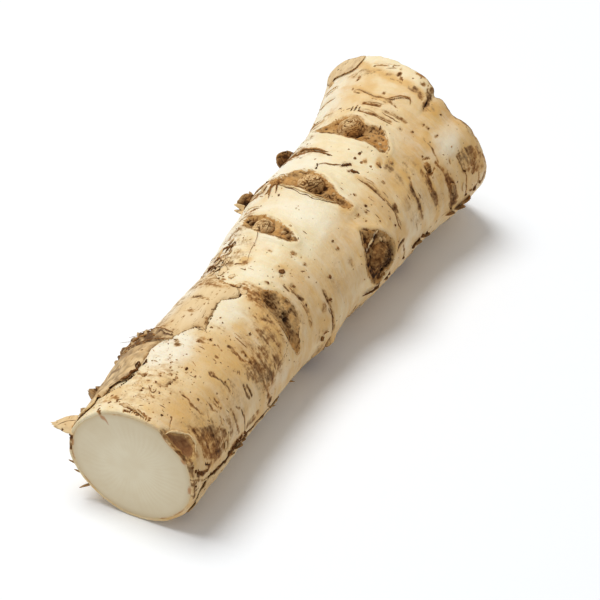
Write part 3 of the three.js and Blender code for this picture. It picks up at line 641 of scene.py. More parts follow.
# Everything drawn on the skin, at each place: in millimetres, or from 0 to 1.
def skinFields(along, turn):
    place = plainPoint(along, turn)
    perDegree = degreeLength(along)
    wander = layered(place, reliefSettings["strayAlong"])
    drift = layered(place, reliefSettings["strayRound"])
    shiftedAlong, shiftedTurn = along + wander, turn + drift / perDegree
    # eyes: the depth inside an outline, the dark lid on the cut end's side, the share of the full sink
    hollow, lid, deep = np.full(len(along), -99.0), np.zeros(len(along)), np.ones(len(along))
    for letter, outline in eyeSettings["outlines"].items():
        depth = outlineDepth(along, turn, outline)
        middle = sum(point[0] for point in outline) / len(outline)
        share = eyeSettings["shallow"].get(letter, 1.0)
        side = share * (0.45 + 0.5 * smoothStep(middle - along, -2, 3))
        lid = np.maximum(lid, side * np.exp(-(np.minimum(depth + 0.1, 0) / 0.5) ** 2))
        deep = np.where(depth > -3, share, deep)
        hollow = np.maximum(hollow, depth)
    # leaf scars, each a groove with a swelling beside it
    scar, groove = np.zeros(len(along)), np.zeros(len(along))
    ringWander = 0.9 * roughness3d(place, 9.0, 5) + 0.3 * wander
    for ringAlong, fromTurn, toTurn, halfWidth, darkness in scarSettings["rings"]:
        middleTurn, halfTurn = (fromTurn + toTurn) / 2, (toTurn - fromTurn) / 2
        fade = 1 - smoothStep(np.abs(wrapTurn(turn - middleTurn)), halfTurn * 0.72, halfTurn * 1.08)
        off = along + ringWander - ringAlong
        line = np.exp(-(off / halfWidth) ** 2)
        scar = np.maximum(scar, darkness * fade * line)
        swelling = np.exp(-((off - 1.9) / 1.7) ** 2)
        groove += fade * (scarSettings["swelling"] * swelling - scarSettings["groove"] * line)
    # dark marks with a hard edge
    mark, cut = np.full(len(along), -99.0), np.zeros(len(along))
    for line, halfWidth, depth in markSettings["lines"]:
        inside = halfWidth - lineDistance(along + 0.3 * wander, turn + 0.3 * drift / perDegree, line)
        mark = np.maximum(mark, inside)
        cut = np.maximum(cut, depth * smoothStep(inside, -0.35, 0.3))
    # stains: strokes, ovals, whole patches and bands
    for line, halfWidth, strength in stainSettings["strokes"]:
        off = lineDistance(shiftedAlong, shiftedTurn, line) / halfWidth
        stroke = 0.8 * strength * np.exp(-off ** 2)
        scar = np.maximum(scar, stroke)
        groove -= reliefSettings["strokeGroove"] * stroke
    brown = ovalSum(shiftedAlong, shiftedTurn, stainSettings["brown"])
    for outline, strength in stainSettings["patches"]:
        patch = smoothStep(outlineDepth(shiftedAlong, shiftedTurn, outline), -0.6, 0.9)
        brown = np.maximum(brown, strength * patch)
    # honey-coloured tan, then the soft bands with their painted shade
    honey = ovalSum(shiftedAlong, shiftedTurn, stainSettings["honey"])
    for line, halfWidth, strength in stainSettings["tanAndShadeBands"]:
        off = lineDistance(shiftedAlong, shiftedTurn, line) / halfWidth
        honey = np.maximum(honey, strength * np.exp(-off ** 2))
    bark = np.full(len(along), -99.0)
    for outline in barkOutlines.values():
        bark = np.maximum(bark, outlineDepth(along, turn, outline))
    bulge = np.zeros(len(along))
    for bulgeAlong, bulgeTurn, halfAlong, halfRound, height in swellings:
        across = (along - bulgeAlong) / halfAlong
        around = wrapTurn(turn - bulgeTurn) * perDegree / halfRound
        bulge += height * np.exp(-(across ** 2 + around ** 2))
    lobe = smoothStep(along, 174, 184) * smoothStep(turn, -6, 18) * smoothStep(27 - turn, 0, 2.5)
    bulge += reliefSettings["lobeRise"] * lobe
    # the warmer tone on the -Y side, partly the skin's own tone and partly painted shade, and a strip of
    # painted shade on it near the cut end
    blotch = roughness3d(place, 24, 10)
    turned = turn + 9 * blotch
    warmAndShade = smoothStep(turned, 12, 40) * (1 - 0.7 * smoothStep(turned, 140, 180))
    # a little less painted shade between turn 66 and 130, where light comes up from the floor
    warmAndShade = warmAndShade * (1 - 0.1 * smoothStep(turned, 66, 80) * (1 - smoothStep(turned, 110, 130)))
    warmAndShade = np.clip(warmAndShade + 0.45 * smoothStep(-turned, 90, 150) + 0.3 * blotch, 0, 1)
    # painted shade from turn 28 to 78, fading to a fifth between 82 and 100 mm along
    paintedShadeStrip = smoothStep(turned, 28, 46) * (1 - smoothStep(turned, 62, 78))
    paintedShadeStrip = paintedShadeStrip * (0.24 + 0.14 * roughness3d(place, 9.0, 17))
    paintedShadeStrip *= 1 - 0.8 * smoothStep(along, 82, 100)
    return {
        "place": place,
        "hollow": hollow,
        "lid": lid,
        "deep": deep,
        "scar": scar,
        "groove": groove,
        "mark": mark,
        "cut": cut,
        "bark": bark,
        "bulge": bulge,
        "warmAndShade": warmAndShade,
        # the brown stains also carry the painted shade strip
        "brown": np.maximum(brown, paintedShadeStrip),
        "honey": honey,
        "paleAndHighlight": ovalSum(shiftedAlong, shiftedTurn, stainSettings["paleAndHighlight"]),
        "soiled": ovalSum(along, turn, stainSettings["soiled"]),
        "wrinkled": ovalSum(along, turn, stainSettings["wrinkled"]),
    }


# How far the skin stands out from its plain form, eyes apart.
def skinRelief(fields):
    place = fields["place"]
    relief = layered(place, reliefSettings["skin"])
    relief += layered(place * np.array([2.6, 1.0, 1.0]), [reliefSettings["waves"]])
    relief += fields["groove"] + fields["bulge"] - fields["cut"]
    relief += (0.05 + 0.16 * fields["wrinkled"] + 0.2 * fields["brown"]) * fibres(place, 5.0, 9)
    outside = np.minimum(fields["hollow"], 0)
    rim = np.exp(-(outside / reliefSettings["rimReach"]) ** 2)
    relief += eyeSettings["swelling"] * fields["deep"] * rim
    lipGap = (fields["hollow"] + reliefSettings["lipPlace"]) / reliefSettings["lipWidth"]
    relief += eyeSettings["lip"] * np.exp(-lipGap ** 2)
    relief += reliefSettings["honeyRise"] * np.clip(fields["honey"], 0, 1)
    return relief


def bodyRelief(fields):
    fall = smoothStep(fields["hollow"], 0.1, eyeSettings["wall"])
    under = smoothStep(fields["hollow"], 0.25, 1.0)
    return skinRelief(fields) - eyeSettings["sink"] * fields["deep"] * fall - eyeSettings["under"] * under


def skinPoint(along, turn, lift=0.0):
    along, turn = np.atleast_1d(np.asarray(along, float)), np.atleast_1d(np.asarray(turn, float))
    points = plainPoint(along, turn, skinRelief(skinFields(along, turn)) + lift)
    return aboveFloor(points)


# Faces between rings of points, with a single point closing each end: the first and the last.
def ringFaces(rings, columns):
    faces = [(0, 1 + column, 1 + (column + 1) % columns) for column in range(columns)]
    for ring in range(rings - 1):
        for column in range(columns):
            first, second = 1 + ring * columns + column, 1 + ring * columns + (column + 1) % columns
            faces.append((first, first + columns, second + columns, second))
    last = 1 + rings * columns
    lastRing = last - columns
    faces += [(last, lastRing + (column + 1) % columns, lastRing + column) for column in range(columns)]
    return faces


# Turns the faces of a closed mesh outwards.
def outwardFaces(points, faces):
    triangles = [(face[0], face[i], face[i + 1]) for face in faces for i in range(1, len(face) - 1)]
    corners = (points - points.mean(axis=0))[np.array(triangles)]
    volume = np.einsum("ij,ij->i", corners[:, 0], np.cross(corners[:, 1], corners[:, 2])).sum()
    return faces if volume > 0 else [tuple(face[::-1]) for face in faces]


def linkObject(name, data):
    made = bpy.data.objects.new(name, data)
    bpy.context.scene.collection.objects.link(made)
    return made


# Writes values to a mesh's points: numbers, or threes of them.
def writeValues(mesh, values):
    for key, data in values.items():
        data = np.asarray(data, np.float32)
        attribute = mesh.attributes.new(key, "FLOAT_VECTOR" if data.ndim == 2 else "FLOAT", "POINT")
        attribute.data.foreach_set("vector" if data.ndim == 2 else "value", data.ravel())


# A mesh object from one or more closed parts, each (points, faces, values).
def makeMesh(name, parts):
    allPoints, allFaces, allValues, count = [], [], {}, 0
    for points, faces, values in parts:
        points = np.asarray(points, float)
        allFaces += [tuple(index + count for index in face) for face in outwardFaces(points, faces)]
        allPoints.append(points)
        for key, data in values.items():
            allValues.setdefault(key, []).append(np.asarray(data, np.float32))
        count += len(points)
    mesh = bpy.data.meshes.new(name)
    mesh.from_pydata((np.vstack(allPoints) * mm).tolist(), [], allFaces)
    mesh.shade_smooth()
    writeValues(mesh, {key: np.concatenate(data) for key, data in allValues.items()})
    return linkObject(name, mesh)


def finishPiece(piece, material):
    piece.data.materials.clear()
    piece.data.materials.append(material)
    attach(piece, "root")
    return piece


# A colour written as it looks on a screen, 0 to 255, for a shader.
def paint(red, green, blue):
    def linear(value):
        share = value / 255
        return share / 12.92 if share <= 0.04045 else ((share + 0.055) / 1.055) ** 2.4
    return (linear(red), linear(green), linear(blue), 1.0)


def addNode(tree, kind, inputs=None, **settings):
    made = tree.nodes.new(kind)
    for key, value in settings.items():
        setattr(made, key, value)
    for key, value in (inputs or {}).items():
        if isinstance(value, bpy.types.NodeSocket):
            tree.links.new(value, made.inputs[key])
        else:
            made.inputs[key].default_value = value
    return made


def mathNode(tree, operation, first, second=0.0, clamp=False):
    inputs = {0: first, 1: second}
    return addNode(tree, "ShaderNodeMath", inputs, operation=operation, use_clamp=clamp).outputs[0]


def times(tree, value, factor):
    return mathNode(tree, "MULTIPLY", value, factor)


def vectorNode(tree, operation, first, second):
    inputs = {0: first, 3 if operation == "SCALE" else 1: second}
    return addNode(tree, "ShaderNodeVectorMath", inputs, operation=operation).outputs[0]


def noiseNode(tree, place, scale, detail, distortion=0.0):
    inputs = {"Vector": place, "Scale": scale, "Detail": detail, "Distortion": distortion}
    return addNode(tree, "ShaderNodeTexNoise", inputs).outputs


# How far a value lies from a half, times a strength.
def offHalf(tree, value, strength):
    return times(tree, mathNode(tree, "SUBTRACT", value, 0.5), strength)


# The greatest of an amount and some fields, each times its strength.
def strongest(tree, amount, fields):
    for field, strength in fields:
        amount = mathNode(tree, "MAXIMUM", amount, times(tree, field, strength))
    return amount


def mixColour(tree, share, first, second, amount=1.0):
    if amount != 1.0:
        share = times(tree, share, amount)
    return addNode(tree, "ShaderNodeMix", {0: share, 6: first, 7: second}, data_type="RGBA").outputs[2]


def rangeNode(tree, value, low, high, toLow=0.0, toHigh=1.0):
    inputs = {0: value, 1: low, 2: high, 3: toLow, 4: toHigh}
    return addNode(tree, "ShaderNodeMapRange", inputs, interpolation_type="SMOOTHSTEP").outputs[0]


# An empty shader node group with one number out. A default of None makes an input a vector.
def newGroup(name, inputs, output):
    group = bpy.data.node_groups.new(name, "ShaderNodeTree")
    for key, value in inputs.items():
        kind = "NodeSocketVector" if value is None else "NodeSocketFloat"
        socket = group.interface.new_socket(key, in_out="INPUT", socket_type=kind)
        if value is not None:
            socket.default_value = value
    group.interface.new_socket(output, in_out="OUTPUT", socket_type="NodeSocketFloat")
    return group, group.nodes.new("NodeGroupInput").outputs, group.nodes.new("NodeGroupOutput").inputs


# The given place, drawn out or squeezed along the root by `Across`.
def stretchedPlace(group, given):
    scale = addNode(group, "ShaderNodeCombineXYZ", {0: given["Across"], 1: 1.0, 2: 1.0}).outputs[0]
    return vectorNode(group, "MULTIPLY", given["Place"], scale)


# Turns a smooth field into a mask whose edge frays like torn skin.
def makeFrayGroup():
    inputs = {"Place": None, "Field": 0.0, "Edge": 0.5, "Softness": 0.1, "Fray": 0.3, "Grain": 900.0,
              "Across": 1.0}
    group, given, out = newGroup("frayedMask", inputs, "Mask")
    place = stretchedPlace(group, given)
    wobble = offHalf(group, noiseNode(group, place, given["Grain"], 3.0)[0], given["Fray"])
    frayed = mathNode(group, "ADD", given["Field"], times(group, wobble, 3.0))
    low = mathNode(group, "SUBTRACT", given["Edge"], given["Softness"])
    high = mathNode(group, "ADD", given["Edge"], given["Softness"])
    group.links.new(rangeNode(group, frayed, low, high), out["Mask"])
    return group


# Small scattered dots, as soil makes in pores. They are denser where Density is higher.
def makeSpeckGroup():
    inputs = {"Place": None, "Spacing": 400.0, "Size": 0.2, "Density": 0.4}
    group, given, out = newGroup("soilSpecks", inputs, "Mask")
    warp = noiseNode(group, given["Place"], 1400.0, 2.0)[1]
    offset = vectorNode(group, "SCALE", vectorNode(group, "SUBTRACT", warp, (0.5, 0.5, 0.5)), 0.0012)
    moved = vectorNode(group, "ADD", given["Place"], offset)
    cells = addNode(group, "ShaderNodeTexVoronoi", {"Vector": moved, "Scale": given["Spacing"]})
    chance = addNode(group, "ShaderNodeSeparateColor", {0: cells.outputs["Color"]})
    there = mathNode(group, "LESS_THAN", chance.outputs[0], given["Density"])
    share = rangeNode(group, chance.outputs[1], 0.0, 1.0, 0.4, 1.4)
    size = times(group, given["Size"], share)
    inside = mathNode(group, "SUBTRACT", size, cells.outputs["Distance"])
    spot = rangeNode(group, inside, 0.0, 0.07)
    group.links.new(times(group, spot, there), out["Mask"])
    return group


# Uneven tone at two sizes, from 0 to 1.
def makeMottleGroup():
    inputs = {"Place": None, "Broad": 90.0, "Fine": 420.0, "Contrast": 1.0, "Across": 1.0}
    group, given, out = newGroup("unevenTone", inputs, "Tone")
    place = stretchedPlace(group, given)
    broad = times(group, noiseNode(group, place, given["Broad"], 3.0)[0], 0.65)
    fine = times(group, noiseNode(group, place, given["Fine"], 4.0)[0], 0.35)
    spread = offHalf(group, mathNode(group, "ADD", broad, fine), given["Contrast"])
    tone = mathNode(group, "ADD", mathNode(group, "MULTIPLY", spread, 3.0), 0.5, clamp=True)
    group.links.new(tone, out["Tone"])
    return group


# Thin broken lines that run round the root, like fibres and fine cracks.
def makeLineGroup():
    inputs = {"Place": None, "Spacing": 150.0, "Across": 6.0, "Thin": 0.06}
    group, given, out = newGroup("fibreLines", inputs, "Mask")
    noise = noiseNode(group, stretchedPlace(group, given), given["Spacing"], 2.0, 0.3)[0]
    off = mathNode(group, "ABSOLUTE", mathNode(group, "SUBTRACT", noise, 0.5))
    line = rangeNode(group, off, 0.0, given["Thin"], 1.0, 0.0)
    broken = rangeNode(group, noiseNode(group, given["Place"], 420.0, 2.0)[0], 0.4, 0.6)
    group.links.new(times(group, line, broken), out["Mask"])
    return group


frayGroup = makeFrayGroup()
speckGroup = makeSpeckGroup()
mottleGroup = makeMottleGroup()
lineGroup = makeLineGroup()


def useGroup(tree, group, place, **inputs):
    made = addNode(tree, "ShaderNodeGroup", node_tree=group)
    tree.links.new(place, made.inputs["Place"])
    for key, value in inputs.items():
        socket = made.inputs[key.capitalize()]
        if isinstance(value, bpy.types.NodeSocket):
            tree.links.new(value, socket)
        else:
            socket.default_value = value
    return made.outputs[0]


def mottle(tree, place, broad, fine, contrast, across=1.0):
    return useGroup(tree, mottleGroup, place, broad=broad, fine=fine, contrast=contrast, across=across)


def frayMask(tree, place, field, edge, softness, fray, grain):
    given = {"field": field, "edge": edge, "softness": softness, "fray": fray, "grain": grain}
    return useGroup(tree, frayGroup, place, **given)


# A material with its Principled shader and its Object coordinates ready.
def startMaterial(name, roughness, specular=0.4, subsurface=0.0):
    material = bpy.data.materials.new(name)
    material.use_nodes = True
    tree = material.node_tree
    shader = tree.nodes["Principled BSDF"]
    shader.inputs["Roughness"].default_value = roughness
    shader.inputs["Specular IOR Level"].default_value = specular
    if subsurface:
        shader.inputs["Subsurface Weight"].default_value = subsurface
        shader.inputs["Subsurface Radius"].default_value = (1.0, 0.7, 0.4)
        shader.inputs["Subsurface Scale"].default_value = 0.0025
    place = tree.nodes.new("ShaderNodeTexCoord").outputs["Object"]
    return material, tree, shader, place


def splitAttribute(tree, name):
    source = addNode(tree, "ShaderNodeAttribute", attribute_name=name)
    return addNode(tree, "ShaderNodeSeparateXYZ", {0: source.outputs["Vector"]}).outputs


def joinBump(tree, shader, height, strength, distance):
    bump = addNode(tree, "ShaderNodeBump", {"Strength": strength, "Distance": distance, "Height": height})
    tree.links.new(bump.outputs[0], shader.inputs["Normal"])


# From clean to darkest: how far along, and the colour.
stainAndShadeRamp = [
    (0.0, (234, 194, 128)),
    (0.3, (208, 152, 82)),
    (0.55, (160, 104, 48)),
    (0.78, (102, 60, 24)),
    (1.0, (46, 22, 6)),
]
dullRamp = [
    (0.0, (224, 194, 142)),
    (0.3, (186, 150, 102)),
    (0.55, (142, 108, 68)),
    (0.78, (92, 60, 30)),
    (1.0, (44, 25, 10)),
]
skinColours = {
    "cream": paint(252, 236, 195),
    "tan": paint(242, 213, 158),
    "warmLight": paint(242, 206, 144),
    "warmDark": paint(218, 172, 106),
    "honey": paint(226, 176, 96),
    "paleAndHighlight": paint(254, 247, 226),
    "bark": paint(206, 174, 124),
}


def rampNode(tree, value, stops):
    made = addNode(tree, "ShaderNodeValToRGB", {0: value})
    elements = made.color_ramp.elements
    for number, (place, colour) in enumerate(stops):
        element = elements[number] if number < 2 else elements.new(place)
        element.position, element.color = place, paint(*colour)
    return made.outputs[0]


# Lays stains, and the painted shade that some amounts carry, over a colour: warm and thin at their edges,
# dark in the middle, broken up by grain.
def stainAndShadeOver(tree, place, colour, amount, grain=1.0):
    hue = mottle(tree, place, 70.0, 300.0, 1.3)
    streaks = mottle(tree, place, 100.0, 330.0, 0.7, across=5.0)
    grit = mottle(tree, place, 500.0, 1300.0, 0.7)
    noise = mathNode(tree, "SUBTRACT", mathNode(tree, "ADD", streaks, grit), 1.0)
    near = rangeNode(tree, amount, 0.02, 0.4, 0.0, 0.75 * grain)
    broken = mathNode(tree, "ADD", amount, mathNode(tree, "MULTIPLY", noise, near), clamp=True)
    shown = rangeNode(tree, broken, 0.08, 0.46)
    dull = mathNode(tree, "ADD", hue, 0.18, clamp=True)
    stain = mixColour(tree, dull, rampNode(tree, broken, stainAndShadeRamp), rampNode(tree, broken, dullRamp))
    return mixColour(tree, shown, colour, stain), broken


def skinMaterial():
    material, tree, shader, place = startMaterial("rootSkin", 0.5, 0.15, 0.1)
    zones, lines, tones, wear = (splitAttribute(tree, name) for name in ("zones", "lines", "tones", "wear"))
    hollow, bark, lid = zones[:3]
    # the brown stains carry painted shade too, the honey tone painted shade in its bands, the pale places
    # painted highlight, and the -Y side's warmer tone painted shade
    scar, mark, brown = lines[:3]
    honey, paleAndHighlight, warmAndShade = tones[:3]
    soiled, wrinkled, crownEnd = wear[:3]
    broadTone = mottle(tree, place, 60.0, 260.0, 1.0)
    bandTone = mottle(tree, place, 80.0, 330.0, 1.3, across=5.0)
    cool = mixColour(tree, broadTone, skinColours["cream"], skinColours["tan"])
    # the golden colour of the -Y side: its own warmer tone with painted shade in it
    golden = mixColour(tree, broadTone, skinColours["warmLight"], skinColours["warmDark"])
    colour = mixColour(tree, warmAndShade, cool, golden)
    colour = mixColour(tree, bandTone, colour, skinColours["paleAndHighlight"], 0.3)
    clouds = mottle(tree, place, 34.0, 150.0, 1.5, across=1.7)
    colour = mixColour(tree, rangeNode(tree, clouds, 0.55, 1.0), colour, skinColours["honey"], 0.3)
    # honey-coloured tan, with painted shade in its bands
    honeyAndShadeMask = frayMask(tree, place, honey, edge=0.55, softness=0.5, fray=0.35, grain=160.0)
    colour = mixColour(tree, honeyAndShadeMask, colour, skinColours["honey"], 0.7)
    # paler places, with painted highlight among them
    paleAndHighlightMask = frayMask(tree, place, paleAndHighlight, edge=0.5, softness=0.4, fray=0.2, grain=200.0)
    colour = mixColour(tree, paleAndHighlightMask, colour, skinColours["paleAndHighlight"], 0.75)
    barkMask = frayMask(tree, place, bark, edge=0.0, softness=0.15, fray=0.3, grain=500.0)
    colour = mixColour(tree, barkMask, colour, skinColours["bark"], 0.85)
    fibreMask = useGroup(tree, lineGroup, place, spacing=150.0, across=6.0, thin=0.04)
    fibreMask = times(tree, fibreMask, rangeNode(tree, wrinkled, 0.05, 0.8, 0.0, 1.0))
    density = rangeNode(tree, soiled, 0.0, 1.0, 0.08, 0.5)
    specks = useGroup(tree, speckGroup, place, spacing=360.0, size=0.2, density=density)
    fineSpecks = useGroup(tree, speckGroup, place, spacing=850.0, size=0.24, density=density)
    amount = strongest(tree, times(tree, brown, 0.8), (
        (scar, 0.9), (lid, 0.5), (crownEnd, 0.75), (wrinkled, 0.36), (soiled, 0.24),
        (fibreMask, 0.45), (specks, 0.6), (fineSpecks, 0.45)))
    markMask = frayMask(tree, place, mark, edge=0.0, softness=0.14, fray=0.35, grain=900.0)
    amount = mathNode(tree, "ADD", amount, markMask)
    colour, broken = stainAndShadeOver(tree, place, colour, amount)
    tree.links.new(colour, shader.inputs["Base Color"])
    fineTone = mottle(tree, place, 380.0, 1500.0, 1.0)
    fineHeight = times(tree, fineTone, 0.4)
    height = mathNode(tree, "ADD", fineHeight, times(tree, bandTone, 0.5))
    height = mathNode(tree, "SUBTRACT", height, times(tree, broken, 0.6))
    joinBump(tree, shader, height, 0.6, 0.0005)
    tree.links.new(rangeNode(tree, broken, 0.1, 0.8, 0.42, 0.8), shader.inputs["Roughness"])
    return material


fleshColours = {
    "middle": paint(250, 237, 205),
    "outer": paint(254, 243, 213),
    "edge": paint(206, 180, 134),
    "ring": paint(222, 194, 140),
    "rim": paint(236, 206, 150),
    "spot": paint(190, 120, 48),
}


def fleshMaterial():
    material, tree, shader, place = startMaterial("cutFlesh", 0.42, 0.3)
    ray, share, spot = splitAttribute(tree, "zones")[:3]
    tone = mottle(tree, place, 110.0, 600.0, 0.7)
    colour = mixColour(tree, tone, fleshColours["middle"], fleshColours["outer"])
    colour = mixColour(tree, rangeNode(tree, ray, -1.0, 1.0), colour, fleshColours["ring"], 0.16)
    near = times(tree, rangeNode(tree, share, 0.25, 1.0), 0.3)
    near = mathNode(tree, "ADD", near, times(tree, rangeNode(tree, share, 0.86, 1.0), 0.3))
    colour = mixColour(tree, near, colour, fleshColours["edge"])
    rimMask = frayMask(tree, place, share, edge=0.965, softness=0.025, fray=0.02, grain=260.0)
    colour = mixColour(tree, rimMask, colour, fleshColours["rim"], 0.6)
    worn = times(tree, rimMask, rangeNode(tree, tone, 0.5, 0.9))
    colour = mixColour(tree, worn, colour, fleshColours["spot"], 0.6)
    spotMask = frayMask(tree, place, spot, edge=0.5, softness=0.3, fray=0.3, grain=700.0)
    colour = mixColour(tree, spotMask, colour, fleshColours["spot"], 0.75)
    tree.links.new(colour, shader.inputs["Base Color"])
    joinBump(tree, shader, noiseNode(tree, place, 1800.0, 3.0)[0], 0.2, 0.0002)
    return material


barkColours = {
    "tan": paint(222, 187, 134),
    "light": paint(242, 215, 168),
    "paleAndHighlight": paint(254, 244, 220),
    "brown": paint(156, 108, 62),
    "edge": paint(88, 52, 24),
}


def barkMaterial():
    material, tree, shader, place = startMaterial("dryBark", 0.6, 0.12)
    inward, torn, dark = splitAttribute(tree, "zones")[:3]
    tone = mottle(tree, place, 110.0, 480.0, 1.1, across=0.25)
    colour = mixColour(tree, tone, barkColours["tan"], barkColours["light"])
    patches = mottle(tree, place, 55.0, 260.0, 1.2)
    colour = mixColour(tree, rangeNode(tree, patches, 0.6, 1.0), colour, barkColours["brown"], 0.35)
    colour = mixColour(tree, rangeNode(tree, dark, 0.0, 1.0), colour, barkColours["edge"], 0.9)
    # where the darkness falls below 0 the colour goes pale: painted highlight from the pale ovals, and
    # uneven tone
    colour = mixColour(tree, rangeNode(tree, dark, -1.0, 0.0, 1.0, 0.0), colour, barkColours["paleAndHighlight"], 0.85)
    cracks = useGroup(tree, lineGroup, place, spacing=500.0, across=0.16, thin=0.03)
    specks = useGroup(tree, speckGroup, place, spacing=420.0, size=0.2, density=0.25)
    edgeField = times(tree, inward, -1.0)
    edgeMask = frayMask(tree, place, edgeField, edge=-0.2, softness=0.25, fray=0.4, grain=420.0)
    amount = times(tree, edgeMask, 0.42)
    amount = strongest(tree, amount, ((torn, 0.75), (cracks, 0.5), (specks, 0.7)))
    colour, broken = stainAndShadeOver(tree, place, colour, amount)
    tree.links.new(colour, shader.inputs["Base Color"])
    height = mathNode(tree, "SUBTRACT", tone, times(tree, broken, 0.8))
    joinBump(tree, shader, height, 0.6, 0.0005)
    return material


budColours = {
    # cap is the colour of a knob's painted highlight; deep is the colour of the darkest places and of
    # painted shade, on knobs and in eyes
    "ridge": paint(174, 122, 68),
    "cap": paint(246, 210, 154),
    "deep": paint(56, 27, 15),
    "hollow": paint(226, 184, 122),
    "hollowDark": paint(182, 132, 72),
    "tail": paint(196, 128, 54),
    "tuft": paint(204, 178, 144),
    "scar": paint(152, 108, 72),
    "scarDark": paint(124, 80, 50),
}


def budMaterial():
    material, tree, shader, place = startMaterial("wrinkledBud", 0.65, 0.05)
    # painted shade in creases, at the foot and on one side; a painted highlight on the top; the knob's own
    # darkness with more painted shade
    groove, top, darkAndShade = splitAttribute(tree, "zones")[:3]
    tone = mottle(tree, place, 260.0, 1000.0, 1.4)
    lit = mathNode(tree, "ADD", top, offHalf(tree, tone, 0.8), clamp=True)
    colour = mixColour(tree, lit, budColours["ridge"], budColours["cap"])
    colour = mixColour(tree, darkAndShade, colour, budColours["deep"])
    amount = strongest(tree, times(tree, groove, 0.95), [(darkAndShade, 0.85)])
    colour, broken = stainAndShadeOver(tree, place, colour, amount, 0.8)
    tree.links.new(colour, shader.inputs["Base Color"])
    joinBump(tree, shader, times(tree, broken, -1.0), 0.6, 0.0005)
    return material


def eyeMaterial():
    material, tree, shader, place = startMaterial("sunkenEye", 0.65, 0.05)
    groove, creviceShade, darkAndShade = splitAttribute(tree, "zones")[:3]
    tail, edge, tuft = splitAttribute(tree, "tones")[:3]
    tone = mottle(tree, place, 160.0, 800.0, 1.4, across=2.0)
    colour = mixColour(tree, tone, budColours["hollow"], budColours["hollowDark"])
    colour = mixColour(tree, tail, colour, budColours["tail"], 0.5)
    # the darker floor, partly its own colour and partly painted shade and highlight; then painted shade
    # where the floor lies lower and in crevices
    colour = mixColour(tree, darkAndShade, colour, budColours["deep"], 0.95)
    amount = times(tree, groove, 0.45)
    amount = strongest(tree, amount, ((creviceShade, 1.0), (edge, 0.65), (darkAndShade, 0.82)))
    colour, broken = stainAndShadeOver(tree, place, colour, amount, 1.4)
    tuftMask = frayMask(tree, place, tuft, edge=0.5, softness=0.2, fray=0.6, grain=900.0)
    colour = mixColour(tree, tuftMask, colour, budColours["tuft"], 0.85)
    even = addNode(tree, "ShaderNodeAttribute", attribute_name="even").outputs["Fac"]
    scar = mixColour(tree, tone, budColours["scar"], budColours["scarDark"])
    colour = mixColour(tree, even, colour, scar)
    tree.links.new(colour, shader.inputs["Base Color"])
    joinBump(tree, shader, times(tree, broken, -1.0), 0.6, 0.0005)
    return material


# Soil, torn edges and hairs, from dark to light.
spotRamp = [(0.0, (56, 30, 10)), (0.3, (112, 70, 34)), (0.6, (184, 136, 82)), (1.0, (240, 212, 160))]


def spotMaterial():
    material, tree, shader, place = startMaterial("soilSpot", 0.75, 0.06)
    tone = addNode(tree, "ShaderNodeAttribute", attribute_name="tone").outputs["Fac"]
    wobble = offHalf(tree, noiseNode(tree, place, 1500.0, 2.0)[0], 0.6)
    share = mathNode(tree, "ADD", tone, wobble, clamp=True)
    tree.links.new(rampNode(tree, share, spotRamp), shader.inputs["Base Color"])
    return material


materials = {
    "skin": skinMaterial(),
    "flesh": fleshMaterial(),
    "bark": barkMaterial(),
    "bud": budMaterial(),
    "eye": eyeMaterial(),
    "spot": spotMaterial(),
}
print("materials are ready")


# The body: rings of points from the cut end to the crown.
bodySettings = {
    "rows": 318,
    "columns": 280,
    "focusTurn": 23.0,       # columns lie closer together on this side
    "focus": 0.3,
    "cutBevel": [(0.0, 1.15), (0.0, 0.5), (0.1, 0.16), (0.45, 0.0)],   # along, how far inside the skin
    "crownBevel": [(1.1, 0.0), (0.5, 0.2), (0.1, 0.6), (0.0, 1.2)],
    "recess": 0.6,           # the cap lies this far behind the flesh
    "hollow": 6.0,           # and its middle this much deeper
    "straightTo": 150.0,     # rows are upright rings up to here, and lean with the cut beyond
    "crownReach": 0.8,       # the crown's flesh stands this far past the plane
}


# Where the skin meets the crown cut, at each turn.
def crownEdge(turn):
    lean = formSettings["crownCutLean"]
    cutY, cutZ, _ = sectionAt(np.array([formSettings["crownCutAlong"]]))[:, 0]
    along = np.full(len(turn), formSettings["crownCutAlong"])
    for _ in range(8):
        points = plainPoint(along, turn)
        off = lean[1] * (points[:, 1] - cutY) + lean[2] * (points[:, 2] - cutZ)
        cutAlong = formSettings["crownCutAlong"] - off / lean[0] + bodySettings["crownReach"]
        along = np.minimum(cutAlong, rootLength)
    notch = 1.5 * np.exp(-(wrapTurn(turn - 28) / 2.6) ** 2) + 1.6 * np.exp(-(wrapTurn(turn + 118) / 5) ** 2)
    ragged = layered(points, [(0.5, 5.0, 70), (0.25, 1.6, 71)])
    return np.minimum(along - notch + ragged, rootLength)


def columnTurns(columns):
    fine = np.linspace(-180, 180, 2000)
    focus, middle = bodySettings["focus"], bodySettings["focusTurn"]
    counted = np.radians(fine) + focus * np.sin(np.radians(fine - middle))
    return np.interp(np.linspace(counted[0], counted[-1], columns + 1)[:-1], counted, fine)


